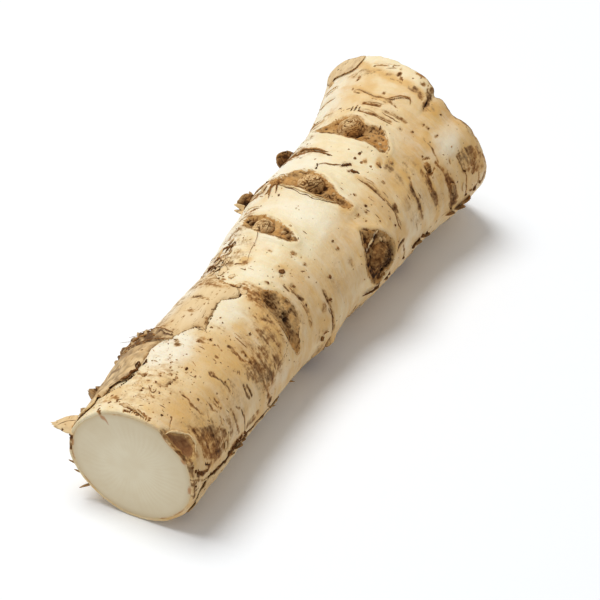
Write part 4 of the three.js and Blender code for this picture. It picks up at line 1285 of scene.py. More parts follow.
def bodyPiece():
    columns = bodySettings["columns"]
    turn = columnTurns(columns)
    edge = crownEdge(turn)
    straightTo, recess = bodySettings["straightTo"], bodySettings["recess"]
    rows = [(np.full(columns, recess), 1.25)]
    rows += [(np.full(columns, along), inset) for along, inset in bodySettings["cutBevel"]]
    lastBack = bodySettings["crownBevel"][0][0]
    for place in np.linspace(0.45, rootLength, bodySettings["rows"])[1:-1]:
        squeeze = (edge - lastBack - straightTo) / (rootLength - straightTo)
        stretched = straightTo + (place - straightTo) * squeeze
        rows.append((np.full(columns, place) if place < straightTo else stretched, 0.0))
    rows += [(edge - back, inset) for back, inset in bodySettings["crownBevel"]]
    rows.append((edge - recess, 1.3))
    allAlong = np.concatenate([row[0] for row in rows])
    allTurn = np.tile(turn, len(rows))
    allInset = np.repeat([row[1] for row in rows], columns)
    fields = skinFields(allAlong, allTurn)
    points = plainPoint(allAlong, allTurn, bodyRelief(fields) - allInset)
    points = aboveFloor(points)
    inward = np.array([bodySettings["hollow"], 0, 0])
    poles = points[:columns].mean(axis=0) + inward, points[-columns:].mean(axis=0) - inward
    points = np.vstack([poles[0], points, poles[1]])
    crownEnd = np.exp(-(np.tile(edge, len(rows)) - allAlong) / 1.1)
    crownEnd = crownEnd * (1 - 0.85 * smoothStep(allTurn, -75, -55) * smoothStep(-allTurn, -12, 0))

    def withPoles(values):
        return np.concatenate([[values[0]], np.maximum(values, -9), [values[-1]]])

    def threeOf(*names):
        return np.column_stack([withPoles(fields[name]) for name in names])

    fields["crownEnd"] = crownEnd
    values = {
        "zones": threeOf("hollow", "bark", "lid"),
        "lines": threeOf("scar", "mark", "brown"),
        "tones": threeOf("honey", "paleAndHighlight", "warmAndShade"),
        "wear": threeOf("soiled", "wrinkled", "crownEnd"),
    }
    piece = makeMesh("root_body", [(points, ringFaces(len(rows), columns), values)])
    finishPiece(piece, materials["skin"])
    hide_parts(rootName)
    return piece


bodyPiece()
print("body is ready")


# The two cut faces.
faceSettings = {
    "columns": 160,
    "rings": 40,
    "thickness": 0.9,
    "inset": 0.8,
    "proud": 0.03,
    "rays": 46,
    "waves": [(0.05, 4.0, 12), (0.03, 1.4, 13)],     # how uneven the cut is: height, size, seed
    # turn, share of the way out, reach of a stain: across, along the ray
    "stains": [(-30, 0.93, 1.8, 0.08), (-27, 0.86, 1.2, 0.08), (-86, 0.975, 5, 0.03),
               (62, 0.97, 4, 0.03), (95, 0.96, 6, 0.035), (150, 0.985, 4, 0.03), (-130, 0.985, 9, 0.02),
               (40, 0.985, 10, 0.02), (-100, 0.985, 6, 0.02), (128, 0.985, 8, 0.02)],
}


# A thin plug of flesh that fills a cut end, flush with the skin's edge.
def facePiece(name, atCrown):
    columns, ringCount = faceSettings["columns"], faceSettings["rings"]
    turn = np.linspace(-180, 180, columns + 1)[:-1]
    along = crownEdge(turn) if atCrown else np.zeros(columns)
    rimPoints = skinPoint(along, turn, -faceSettings["inset"])
    out = 1.0 if atCrown else -1.0
    middle = rimPoints.mean(axis=0)
    spectrum = np.fft.rfft(rimPoints - middle, axis=0)
    spectrum[3:] = 0
    smoothRim = middle + np.fft.irfft(spectrum, columns, axis=0)
    points, zones = [middle + np.array([out * faceSettings["proud"], 0, 0])], [(0.0, 0.0, 0.0)]
    shares = np.linspace(1 / ringCount, 1, ringCount)
    layers = [(share, faceSettings["proud"]) for share in shares]
    layers += [(share, -faceSettings["thickness"]) for share in shares[::-1][::4]]
    for share, lift in layers:
        ring = middle + (smoothRim - middle) * share + (rimPoints - smoothRim) * share ** 8
        ray = np.sin(np.radians(turn) * faceSettings["rays"] + 9 * roughness3d(ring, 9.0, 14))
        ray = ray * share * (1 - share) * (1 + roughness3d(ring, 6.0, 15)) * 1.6
        ray = ray + 0.7 * roughness3d(ring, 3.0, 16)
        wave = layered(ring, faceSettings["waves"])
        roundOver = 0.15 * smoothStep(share, 0.96, 1.0)
        ring[:, 0] += out * (lift + (wave - roundOver if lift > 0 else 0))
        spot = np.zeros(columns)
        for spotTurn, spotShare, halfTurn, halfShare in faceSettings["stains"]:
            off = (wrapTurn(turn - spotTurn) / halfTurn) ** 2 + ((share - spotShare) / halfShare) ** 2
            spot = np.maximum(spot, np.exp(-off))
        points.extend(ring)
        zones.extend(zip(ray, np.full(columns, share), spot))
    points.append(middle + np.array([-out * faceSettings["thickness"], 0, 0]))
    zones.append((0.0, 0.0, 0.0))
    points = np.array(points)
    points[:, 0] = np.clip(points[:, 0], startX - 0.2, startX + rootLength + 0.5)
    points = aboveFloor(points, underGap)
    piece = makeMesh(name, [(points, ringFaces(len(layers), columns), {"zones": np.array(zones)})])
    return finishPiece(piece, materials["flesh"])


facePiece("cut_face", atCrown=False)
facePiece("crown_cut_face", atCrown=True)
print("cut faces are ready")


# The squares of a grid whose corners are numbered row by row.
def gridSquares(rows, columns):
    corner = np.arange(rows * columns).reshape(rows, columns)
    corners = corner[:-1, :-1], corner[:-1, 1:], corner[1:, 1:], corner[1:, :-1]
    return np.stack(corners, axis=-1).reshape(-1, 4)


# The grid squares inside an outline, with ragged edges. Gives along, turn and depth of each corner that
# they use, and the squares.
def squaresInside(outline, spacing, fray, seed):
    alongs = np.array([point[0] for point in outline], float)
    turns = np.array([point[1] for point in outline], float)
    perDegree = degreeLength(alongs.mean())[0]
    gridAlong = np.arange(alongs.min() - 1.2, alongs.max() + 1.2, spacing)
    gridTurn = np.arange(turns.min() - 1.2 / perDegree, turns.max() + 1.2 / perDegree, spacing / perDegree)
    rows, columns = len(gridAlong), len(gridTurn)
    along, turn = (values.ravel() for values in np.meshgrid(gridAlong, gridTurn, indexing="ij"))
    flat = plainPoint(along, turn)
    ragged = fray * layered(flat, [(0.6, 2.6, seed), (0.4, 0.9, seed + 1)])
    depth = outlineDepth(along, turn, outline) + ragged
    table = depth.reshape(rows, columns)
    slopeAlong, slopeRound = np.gradient(table, spacing)
    steep = slopeAlong ** 2 + slopeRound ** 2 + 1e-6
    pull = np.clip(np.where(table < 0, -table / steep, 0), 0, spacing * 1.2)
    along = along + (pull * slopeAlong).ravel()
    turn = turn + (pull * slopeRound).ravel() / perDegree
    along = np.clip(along, 0.0, crownEdge(turn))
    quads = gridSquares(rows, columns)
    values = depth[quads]
    quads = quads[(values.max(axis=1) > 0) & (values.min(axis=1) > -0.75 * spacing)]
    used = np.unique(quads)
    renumber = np.full(rows * columns, -1)
    renumber[used] = np.arange(len(used))
    return along[used], turn[used], np.maximum(depth[used], 0), renumber[quads].tolist()


# The faces of a closed sheet whose top and bottom have the same squares.
def sheetFaces(squares, count):
    faces = [tuple(square) for square in squares]
    faces += [tuple(index + count for index in square[::-1]) for square in squares]
    sides = {side for square in squares for side in zip(square, square[1:] + square[:1])}
    for first, second in sorted(sides):
        if (second, first) not in sides:
            faces.append((second, first, first + count, second + count))
    return faces


# One sheet of bark as a closed part. `liftAt` says how far each place stands off the skin.
def barkPart(outline, liftAt, spacing, thickness, fray, seed, dark=0.0, rough=0.1):
    along, turn, depth, squares = squaresInside(outline, spacing, fray, seed)
    lift = liftAt(along, turn, depth)
    flat = plainPoint(along, turn)
    crumple = rough * (roughness3d(flat, 2.0, seed + 3) + 0.6 * fibres(flat, 4.0, seed + 4))
    crumple += 1.6 * (rough - 0.1) * roughness3d(flat, 0.9, seed + 5)
    edgeThin = 0.35 + 0.65 * smoothStep(depth, 0, 1.2)
    top = skinPoint(along, turn, lift + thickness * edgeThin + crumple)
    bottom = skinPoint(along, turn, np.where(lift > 0.15, lift, lift - 0.5))
    torn = 0.6 * smoothStep(roughness3d(top, 5.0, seed + 2), -0.1, 0.7) * np.exp(-depth / 1.5)
    torn = np.maximum(torn, ovalSum(along, turn, barkSettings["stains"]))
    darkness = dark * (1 + 1.3 * roughness3d(top, 1.5, seed + 6) + 0.8 * roughness3d(top, 5.0, seed + 7))
    # painted highlight, as negative darkness
    darkness = darkness - ovalSum(along, turn, barkSettings["paleAndHighlight"])
    zones = np.column_stack([depth, torn, darkness])
    return np.vstack([top, bottom]), sheetFaces(squares, len(along)), {"zones": np.vstack([zones, zones])}


barkSettings = {
    "spacing": 0.5,
    "thickness": 0.36,
    "fray": 1.0,
    # stains on the sheets: along, turn, half size along, half size round, strength
    "stains": [
        (62.5, -24, 0.7, 2.6, 0.95), (61, -16, 1.4, 3.0, 0.5), (54.2, -18, 1.1, 2.6, 0.6),
        (61, -11, 0.6, 0.6, 0.9), (48, -25.5, 0.6, 0.6, 0.8), (58.5, -28.5, 0.7, 0.8, 0.7),
        (70, -20, 2.5, 7, 0.5), (34.5, -20, 0.5, 0.6, 0.7), (31, -27, 4, 3, 0.3), (24, -34, 5, 3, 0.3),
        (45, -36, 3, 6, 0.4), (50, -46, 6, 5, 0.4), (60, -44, 6, 5, 0.35), (11, -50, 6, 4, 0.35),
        (72, -34, 4, 8, 0.5), (66, 6, 1.6, 1.2, 0.3),
    ],
    # painted highlight on the sheets, in the same form
    "paleAndHighlight": [(54, -50, 11, 6, 0.8), (68, -50, 8, 8, 0.9), (52, -12, 5, 4, 0.3), (6, -54, 5, 4, 0.4)],
}


def lowerBarkLift(along, turn, depth):
    opened = np.exp(-lineDistance(along, turn, [(8.5, -44), (9.5, -37), (13, -29.5), (17, -23)]) / 2.4)
    lip = np.exp(-lineDistance(along, turn, [(0.6, -58), (3, -47.5), (8.5, -43.5)]) / 1.2)
    return 0.05 + 0.9 * opened + 0.4 * lip


def upperBarkLift(along, turn, depth):
    corner = np.exp(-lineDistance(along, turn, [(47, 6), (53, 2), (60, -1), (66, 5.5), (68, 9)]) / 1.6)
    return 0.03 + 0.15 * corner


def tornBandLift(along, turn, depth):
    return 0.1 + 1.1 * smoothStep(depth, 0.0, 2.4)


def underBarkLift(along, turn, depth):
    return 0.05 + 0.5 * np.exp(-depth / 1.5)


for name, outline, liftAt, seed, dark, rough in (
    ("bark_sheet_lower", barkOutlines["lower"], lowerBarkLift, 20, 0.36, 0.1),
    ("bark_sheet_upper", barkOutlines["upper"], upperBarkLift, 26, 0.0, 0.14),
    ("bark_sheet_under", barkOutlines["under"], underBarkLift, 32, 0.12, 0.16),
    ("bark_torn_band", tornBand, tornBandLift, 38, 0.6, 0.85),
):
    settings = barkSettings["spacing"], barkSettings["thickness"], barkSettings["fray"]
    part = barkPart(outline, liftAt, *settings, seed, dark, rough)
    finishPiece(makeMesh(name, [part]), materials["bark"])

# Small loose flakes: along, turn, half length, half width, darkness.
flakeSettings = {
    "thickness": 0.3,
    "spacing": 0.3,
    "flakes": [
        (79, -22, 2.4, 1.6, 0.0), (84, -27, 2.0, 1.2, 0.1), (77, -34, 2.4, 1.6, 0.1),
        (85, -38, 2.0, 1.2, 0.3), (90, -43, 2.6, 1.2, 0.2), (76, -9, 1.6, 1.0, 0.1),
        (89, -30, 1.6, 0.8, 0.3), (95, -39, 2.0, 0.8, 0.5), (72, 2, 1.4, 0.9, 0.2), (70, 11, 1.2, 1.0, 0.0),
        (61, -19, 1.6, 1.0, 0.3), (3, -6, 0.8, 2.4, 0.45), (2.2, 3.5, 0.8, 2.2, 0.45),
        (20, 84, 1.0, 2.2, 0.3), (77, -22, 1.6, 1.4, 0.1), (80, -31, 1.8, 1.2, 0.2),
        (86, -33, 1.6, 1.2, 0.1), (126, -46, 0.9, 2.4, 0.3), (122, -40, 0.8, 2.0, 0.2),
        (147, -42, 0.9, 2.0, 0.4), (171, 82, 1.0, 2.4, 0.5), (176, 88, 0.9, 2.0, 0.3),
        (187, 60, 1.0, 2.4, 0.2), (36, -30, 2.2, 1.6, 0.5), (40, -40, 2.0, 1.6, 0.3),
        (37, -48, 2.4, 1.4, 0.6), (39, -22, 1.8, 1.4, 0.5), (35, -58, 2.0, 1.8, 0.5),
        (42, -58, 2.4, 1.6, 0.4), (28, 101, 1.6, 1.6, 0.7), (32, 103, 1.4, 1.4, 0.8),
        (24, 101, 1.4, 1.3, 0.6), (44, 110, 1.6, 1.4, 0.6), (14, 99, 1.3, 1.2, 0.5),
    ],
    "hiddenCount": 34,
}
flakeRandom = np.random.default_rng(8)
for _ in range(flakeSettings["hiddenCount"]):
    flakeSettings["flakes"].append((
        flakeRandom.uniform(3, 188), flakeRandom.uniform(108, 286), flakeRandom.uniform(0.9, 2.4),
        flakeRandom.uniform(1.0, 2.8), flakeRandom.uniform(0, 0.6),
    ))


def flakePart(along, turn, halfLength, halfWidth, dark, seed):
    perDegree = degreeLength(along)[0]
    outline = []
    for step in range(9):
        angle = 2 * math.pi * (step + flakeRandom.uniform(-0.3, 0.3)) / 9
        reach = flakeRandom.uniform(0.7, 1.2)
        outline.append((along + reach * halfLength * math.cos(angle),
                        turn + reach * halfWidth * math.sin(angle) / perDegree))
    tilt = flakeRandom.uniform(0, 2 * math.pi)

    def lift(places, turns, depth):
        across, around = places - along, wrapTurn(turns - turn) * perDegree
        slope = (across * math.cos(tilt) + around * math.sin(tilt)) / max(halfLength, halfWidth)
        return 0.12 + 0.28 * np.clip(slope, -0.3, 1)

    return barkPart(outline, lift, flakeSettings["spacing"], flakeSettings["thickness"], 0.6, seed, dark)


flakes = [flakePart(*flake, 60 + number) for number, flake in enumerate(flakeSettings["flakes"])]
finishPiece(makeMesh("bark_flakes", flakes), materials["bark"])

# The remains of a leaf base at the crown, with its free edge.
crownFlapSettings = {
    "spacing": 0.4,
    "thickness": 0.5,
    "fray": 0.2,
    "outline": [(191.8, -57), (191, -50), (190.2, -43), (190.2, -38.4), (191.2, -35.6), (194.2, -33.6),
                (198, -33.6), (200, -38), (202, -48), (204, -60), (202, -74), (196, -72), (192.5, -66)],
    "freeEdge": [(191.8, -57), (190.2, -43), (190.2, -38.4), (191.2, -35.6), (194.2, -33.6)],
}


def crownFlapLift(along, turn, depth):
    return 0.1 + 0.55 * np.exp(-lineDistance(along, turn, crownFlapSettings["freeEdge"]) / 1.6)


settings = crownFlapSettings["spacing"], crownFlapSettings["thickness"], crownFlapSettings["fray"]
crownFlap = barkPart(crownFlapSettings["outline"], crownFlapLift, *settings, 90, dark=0.12)
finishPiece(makeMesh("crown_leaf_base", [crownFlap]), materials["bark"])
print("bark is ready")


# Each eye's bud: along, turn, half size along and round, height, strength of its wrinkles, darkness.
budSettings = {
    "rings": 50,
    "columns": 112,
    "eyes": {
        "a": (101.5, -16, 4.3, 4.3, 3.2, 0.8, -0.35),
        "b": (125.5, -3.6, 5.2, 5.7, 3.8, 1.0, 0.0),
        "c": (160.1, -9.8, 6.0, 5.9, 4.2, 1.1, 0.15),
        "d": (123.9, 77, 4.9, 5.6, 4.1, 1.2, 0.8),
        "f": (64, -120, 4.4, 5.0, 3.4, 1.0, 0.1),
        "g": (96, 142, 4.2, 4.8, 3.2, 0.9, 0.2),
        "h": (142, -138, 4.8, 5.4, 3.7, 1.0, 0.1),
        "i": (40, -96, 3.0, 3.4, 2.8, 1.0, 0.2),
        "j": (158, 150, 4.6, 5.0, 3.4, 0.8, 0.2),
    },
    "stumps": {
        "stump_far": (149.5, -62, 3.3, 3.8, 4.4, 1.4, 0.45),
        "stump_near": (123.6, -67, 3.8, 3.0, 4.2, 1.0, 0.2),
        "stump_small": (164.2, 55, 2.1, 2.8, 1.6, 1.2, 0.45),
    },
    # small lumps in the tails of eyes and beside them
    "nodules": [
        (100.4, 9, 1.3, 1.4, 1.3, 1.0, 0.5), (99.6, 13, 0.9, 1.0, 0.9, 0.8, 0.7),
        (101.5, 4, 1.0, 1.4, 0.8, 1.0, 0.3), (122.4, 22, 1.0, 1.5, 1.1, 1.0, 0.6),
        (122.6, 28, 0.9, 1.3, 1.0, 0.8, 0.5), (121.8, 32, 0.7, 0.9, 0.9, 0.8, 0.8),
        (125.4, 17, 1.0, 1.2, 0.9, 0.8, 0.2), (157.6, 17, 1.4, 1.7, 1.0, 1.0, 0.2),
        (155.4, 20.5, 1.1, 1.6, 1.0, 1.0, 0.4), (162.6, 11, 0.9, 1.3, 1.0, 0.8, 0.4),
        (155.5, 6, 1.4, 1.6, 0.9, 1.0, 0.1), (158.6, 8, 1.2, 1.6, 0.9, 1.0, 0.2),
        (128.4, 78, 1.2, 1.3, 1.5, 1.2, 0.9), (127.6, 90, 1.3, 1.3, 1.6, 1.2, 0.9),
        (126.2, 71, 0.9, 1.4, 1.4, 1.0, 0.6), (127.4, 84, 1.0, 1.2, 1.4, 1.0, 0.8),
        (127.0, 67.5, 0.8, 2.2, 1.9, 0.5, -0.2), (125.6, 65.4, 0.7, 1.4, 1.7, 0.4, -0.2),
        (119.6, 95, 1.0, 1.5, 1.2, 0.9, 0.4), (104.6, -30, 0.9, 1.5, 0.8, 0.9, 0.4),
        (105.6, -37, 0.8, 1.2, 0.8, 0.9, 0.5),
    ],
    "noduleGrid": (12, 20),     # rings and columns of a small lump
    "spacing": 0.3,
    # painted shade on one side of a knob: how far that side turns towards the crown, from and to what share
    # across it the shade rises, and how much of it is as dark as a groove
    "shade": {"d": (0.9, -0.1, 0.5, 0.9)},
    "usualShade": (-0.6, 0.05, 1.1, 0.0),
}

# How dark the floor of each eye is, and of those that aren't named.
eyeDusk = {"a": 0.05, "b": 0.08, "c": 0.1, "d": 0.72, "e": 0.28, "k": 0.6}
usualDusk = 0.15


# Thin creases, where smooth noise passes through nothing.
def creases(place, size, width, seed):
    return np.clip(1 - np.abs(roughness3d(place, size, seed)) / width, 0, 1) ** 0.7


# Noise coordinates that curl round a middle, for wrinkles that do.
def curledPlace(across, around, seed):
    bearing, reach = np.arctan2(around, across), np.hypot(across, around)
    return np.column_stack([reach, 1.7 * np.cos(bearing), 1.7 * np.sin(bearing)]) + 3.1 * seed


# The sunken floor of an eye, crumpled along its lids and, near the bud, round the bud.
def eyePart(letter, seed):
    outline = eyeSettings["outlines"][letter]
    middle = (*np.mean(outline, axis=0), 1.0, 1.2)
    budAlong, budTurn, halfAlong, halfRound = budSettings["eyes"].get(letter, middle)[:4]
    along, turn, depth, squares = squaresInside(outline, budSettings["spacing"], 0.7, seed)
    fields = skinFields(along, turn)
    place = fields["place"]
    perDegree = degreeLength(along)
    across, around = along - budAlong, wrapTurn(turn - budTurn) * perDegree
    gap = (np.hypot(across / halfAlong, around / halfRound) - 1) * (halfAlong + halfRound) / 2
    nearBud = np.exp(-np.maximum(gap, 0) / 1.6)
    # creases: along the lids, and round the bud near it
    flat = np.column_stack([1.5 * along, 0.8 * turn * perDegree, np.full(len(along), 3.0 * seed)])
    curled = curledPlace(across, around, seed)
    broad = creases(flat, 1.5, 0.2, seed + 1) * (1 - nearBud)
    broad = broad + creases(curled, 1.2, 0.2, seed + 2) * nearBud
    fine = creases(flat, 0.7, 0.26, seed + 3)
    rough = eyeSettings["smooth"].get(letter, 1.0)
    grit = rough * layered(place, [(0.6, 1.4, seed + 3), (0.4, 0.6, seed + 4)])
    crumpled = rough * smoothStep(roughness3d(place, 4.5, seed + 6), -0.6, 0.4)
    crease = np.maximum(rough * broad * (0.35 + 0.65 * crumpled), 0.65 * fine * crumpled)
    # the moat round the bud, and the pits
    moat = np.exp(-(gap / 0.9) ** 2) if letter in budSettings["eyes"] else 0 * along
    pitted, pitDepth = np.zeros(len(along)), np.zeros(len(along))
    for pitAlong, pitTurn, radius, pitSink in eyeSettings["pits"]:
        off = np.hypot(along - pitAlong, wrapTurn(turn - pitTurn) * perDegree) / radius
        pitted = np.maximum(pitted, np.exp(-off ** 4))
        pitDepth = np.maximum(pitDepth, pitSink * np.exp(-off ** 4))
    sink = eyeSettings["sink"] * eyeSettings["shallow"].get(letter, 1.0)
    height = 0.04 - sink * smoothStep(depth, -0.1, eyeSettings["wall"]) - 0.4 * moat - pitDepth
    height += (0.3 * grit - 0.4 * crease) * smoothStep(depth, 0, 1.2)
    top = plainPoint(along, turn, skinRelief(fields) + height)
    bottom = plainPoint(along, turn, skinRelief(fields) + height - 0.45)
    # tones: the tail, the darker floor with painted shade and highlight, the pale tuft and rim, the painted
    # shade in crevices
    tail = smoothStep(around, 4.0, 9.0) + 0.6 * smoothStep(-around, 6.0, 12.0)
    below = 0.35 + 0.65 * np.sin(np.arctan2(around * 0.6 - across, np.abs(around) + 0.1))
    uneven = layered(place, [(0.4, 3.0, seed + 5), (0.4, 1.2, seed + 7)])
    darkAndShade = eyeDusk.get(letter, usualDusk) + rough * uneven
    for shadeAlong, shadeTurn, radius, amount in eyeSettings["shades"]:
        off = np.hypot(along - shadeAlong, wrapTurn(turn - shadeTurn) * perDegree) / radius
        darkAndShade += amount * np.exp(-off ** 2)
    darkAndShade = np.clip(darkAndShade, 0, 1) * smoothStep(depth, 0.0, 1.6)
    tuft = 0 * along
    if letter in eyeSettings["tufts"]:
        tuft = np.exp(-(lineDistance(along, turn, eyeSettings["tufts"][letter]) / 0.5) ** 2)
        tuft = tuft * (0.6 + 0.45 * np.sin(5.2 * along))
    broken = smoothStep(roughness3d(place, 4.0, seed + 8), -0.2, 0.6)
    rim = np.exp(-depth / 0.5) * (0.25 + 0.75 * smoothStep(-across, -1, 2)) * (0.25 + 0.75 * broken)
    # painted shade in the moat below the bud, in the pits and in the creases
    creviceShade = np.maximum(moat * np.clip(below, 0, 1), pitted)
    creviceShade = np.maximum(creviceShade, 0.9 * crease * smoothStep(depth, 0.2, 1.0))
    # the first value darkens the floor where it lies lower: painted shade
    zones = np.column_stack([np.clip(0.5 - grit, 0, 1), creviceShade, darkAndShade])
    tones = np.column_stack([tail, rim, tuft])
    even = eyeSettings["even"].get(letter, 0.0) * smoothStep(depth, 0.1, 0.7)
    values = {"zones": np.vstack([zones, zones]), "tones": np.vstack([tones, tones])}
    values["even"] = np.append(even, even)
    return np.vstack([top, bottom]), sheetFaces(squares, len(along)), values


# A wrinkled knob. Its creases curl round a point off its middle, and crowd on the side that faces down,
# where its colour carries painted shade.
def budPart(spec, floor, seed, rings, columns, shade=budSettings["usualShade"]):
    along, turn, halfAlong, halfRound, height, wrinkles, dark = spec
    perDegree = degreeLength(along)[0]
    # rings of points: three under the skin, then up over the knob
    shares = np.concatenate([np.linspace(0.3, 1.0, 3), np.linspace(1.0, 1 / rings, rings) ** 0.85])
    angles = np.linspace(0, 2 * math.pi, columns + 1)[:-1]
    share, angle = (values.ravel() for values in np.meshgrid(shares, angles, indexing="ij"))
    isUnder = np.repeat(np.arange(len(shares)) < 3, columns)
    shape = np.column_stack([np.cos(angle), np.sin(angle), np.full(len(angle), seed * 1.7)])
    wide = 1 + 0.14 * roughness3d(shape, 0.9, seed) + 0.05 * roughness3d(shape, 0.35, seed + 1)
    across = share * wide * halfAlong * np.cos(angle)
    around = share * wide * halfRound * np.sin(angle)
    local = np.column_stack([across, around, np.full(len(across), seed * 9.0)])
    curled = curledPlace(across - 0.1 * halfAlong, around + 0.3 * halfRound, seed)
    curled = curled + 0.5 * roughness3d(local, 1.5, seed + 6)[:, None]
    size = 0.3 + 0.075 * (halfAlong + halfRound)
    broad, fine = creases(curled, size, 0.2, seed + 2), creases(curled, 0.5 * size, 0.25, seed + 3)
    lowerSide = around / halfRound + shade[0] * across / halfAlong
    crowded = 0.45 + 0.55 * smoothStep(lowerSide, -0.6, 0.4)
    crease = wrinkles * np.maximum(broad * (0.35 + 0.65 * crowded), 0.85 * fine * crowded)
    knobbly = layered(local, [(0.6, 2.2, seed + 4), (0.3, 0.7, seed + 5)])
    dome = np.maximum(1 - share ** 2.4, 0) ** 0.6
    fade = 1 - share ** 5
    lift = height * dome - floor + (0.5 * knobbly - 0.42 * crease) * fade * min(1.0, height / 3)
    lift = np.where(isUnder, -floor - 0.9, lift)
    points = plainPoint(along + across, turn + around / perDegree, lift)
    ends = np.array([-floor - 0.9, height - floor])
    ends = plainPoint(np.full(2, float(along)), np.full(2, float(turn)), ends)
    points = np.vstack([ends[:1], points, ends[1:]])
    points = aboveFloor(points, underGap)
    # tones: the grooves, with painted shade in the creases, at the foot and on one side; the painted
    # highlight on the top; the knob's own darkness with more painted shade on that side
    shaded = 0.85 * smoothStep(share, 0.88, 1) * (0.4 + 0.6 * crowded)
    paintedShadeSide = shade[3] * smoothStep(lowerSide + 0.2 * knobbly, shade[1] + 0.2, shade[2] + 0.2)
    groove = np.concatenate([[0], np.maximum(0.95 * crease, np.maximum(shaded, paintedShadeSide)), [0]])
    light = 1.0 - min(dark, 0) - 0.45 * lowerSide - 0.7 * share + 0.35 * knobbly
    top = np.concatenate([[0], np.clip(light, 0, 1), [1]])
    shaded = np.clip(dark + 0.6 * smoothStep(lowerSide, shade[1], shade[2]), 0, 1)
    darkAndShade = np.concatenate([[dark], shaded, [dark * 0.7]])
    return points, ringFaces(len(shares), columns), {"zones": np.column_stack([groove, top, darkAndShade])}


rings, columns = budSettings["rings"], budSettings["columns"]
for number, letter in enumerate(eyeSettings["outlines"]):
    part = eyePart(letter, 100 + 7 * number)
    finishPiece(makeMesh("eye_" + letter, [part]), materials["eye"])
for number, (letter, spec) in enumerate(budSettings["eyes"].items()):
    shade = budSettings["shade"].get(letter, budSettings["usualShade"])
    part = budPart(spec, eyeSettings["sink"], 30 + 6 * number, rings, columns, shade)
    finishPiece(makeMesh("bud_" + letter, [part]), materials["bud"])
for number, (name, spec) in enumerate(budSettings["stumps"].items()):
    part = budPart(spec, 0.4, 200 + 6 * number, rings, columns)
    finishPiece(makeMesh(name, [part]), materials["bud"])
nodules = []
for number, spec in enumerate(budSettings["nodules"]):
    nodules.append(budPart(spec, 0.6, 300 + 6 * number, *budSettings["noduleGrid"]))
finishPiece(makeMesh("bud_nodules", nodules), materials["bud"])
print("eyes are ready")


# Torn bark that stands off the root: where it starts, along and turn; where it points and how it is
# turned, each as parts along the root, outwards and round; length, width, curl, darkness.
tornSettings = {
    "rows": 16,
    "columns": 12,
    "thickness": 0.35,
    "pieces": [
        (3.2, -74, (-0.35, 1.0, -0.15), (1.0, 0.3, 0.2), 7.4, 7.6, 1.2, 0.0),
        (1.0, -113, (-0.3, 0.6, 0.9), (1.0, 0.2, 0.0), 3.2, 1.0, 0.2, 0.75),
        (1.0, -122, (-0.3, 0.6, 0.9), (1.0, 0.2, 0.0), 3.4, 1.1, 0.2, 0.75),
        (1.2, -134, (-0.4, 1.0, 0.35), (0.9, 0.3, 0.2), 5.0, 1.6, 0.3, 0.75),
        (1.0, -151, (-0.3, 0.8, 0.6), (0.9, 0.3, 0.2), 1.3, 1.0, 0.2, 0.9),
        (14.6, -63, (-0.1, 1.0, 0.15), (1.0, 0.1, 0.0), 3.4, 5.6, 0.5, 0.7),
        (17, -62, (0.1, 1.0, 0.2), (1.0, 0.1, 0.0), 2.2, 3.0, 0.4, 0.9),
        (6.4, -63, (-0.2, 1.0, 0.0), (1.0, 0.1, 0.0), 1.9, 3.4, 0.3, 0.65),
        (36, -62, (0.2, 1.0, 0.1), (1.0, 0.1, 0.0), 2.6, 5.0, 0.6, 0.7),
        (42, -61, (-0.1, 1.0, 0.2), (1.0, 0.1, 0.0), 2.2, 5.0, 0.5, 0.6),
        (31, -63, (0.0, 1.0, 0.1), (1.0, 0.1, 0.0), 1.8, 4.0, 0.4, 0.5),
        (120.4, -65, (-0.5, 1.0, 0.1), (0.3, 0.5, 1.0), 4.6, 2.2, 0.8, 0.0),
        (119.4, -67, (-0.3, 1.0, -0.2), (0.8, 0.3, 0.6), 3.6, 1.8, 0.6, 0.1),
        (127.4, -67, (0.4, 1.0, 0.0), (0.3, 0.3, 1.0), 3.4, 1.6, 0.4, 0.2),
        (28.5, 104, (0.1, 1.0, -0.5), (1.0, 0.1, 0.1), 2.8, 4.8, 0.5, 0.7),
        (33, 106, (0.2, 1.0, -0.4), (1.0, -0.1, 0.0), 2.0, 3.4, 0.4, 0.85),
        (24.5, 104, (0.1, 1.0, -0.4), (1.0, 0.1, 0.0), 1.8, 3.0, 0.3, 0.8),
        (69, 114, (0.4, 1.0, -0.3), (1.0, 0.1, 0.2), 2.2, 1.3, 0.2, 0.8),
        (180, 105, (0.0, 1.0, -0.3), (1.0, 0.1, 0.0), 2.6, 6.0, 0.6, 0.8),
        (175.4, 104.5, (0.1, 1.0, -0.3), (1.0, 0.1, 0.0), 3.2, 5.0, 0.7, 0.95),
        (171, 104.5, (-0.1, 1.0, -0.3), (1.0, 0.1, 0.0), 2.6, 4.4, 0.6, 0.85),
        (177.6, 104, (0.1, 1.0, -0.1), (1.0, -0.1, 0.1), 1.8, 3.4, 0.5, 0.6),
        (52, 106, (0.5, 1.0, -0.2), (1.0, 0.1, 0.3), 2.6, 0.9, 0.2, 0.8),
        (90, 98, (0.3, 1.0, -0.4), (1.0, 0.1, 0.3), 2.0, 2.0, 0.3, 0.5),
        (126, 104, (0.2, 1.0, -0.3), (1.0, 0.1, 0.3), 1.8, 1.8, 0.3, 0.7),
        (150, 103, (0.3, 1.0, -0.4), (1.0, 0.1, 0.0), 2.2, 5.0, 0.5, 0.6),
        (156, 105, (0.3, 1.0, -0.4), (1.0, 0.1, 0.0), 2.4, 3.4, 0.4, 0.8),
        (190, -60, (0.5, 1.0, 0.2), (0.2, 0.1, 1.0), 1.6, 4.0, 0.2, 0.1),
        (180, 70, (0.9, 0.7, 0.1), (0.0, 0.2, 1.0), 1.0, 3.0, 0.2, 0.6),
    ],
}


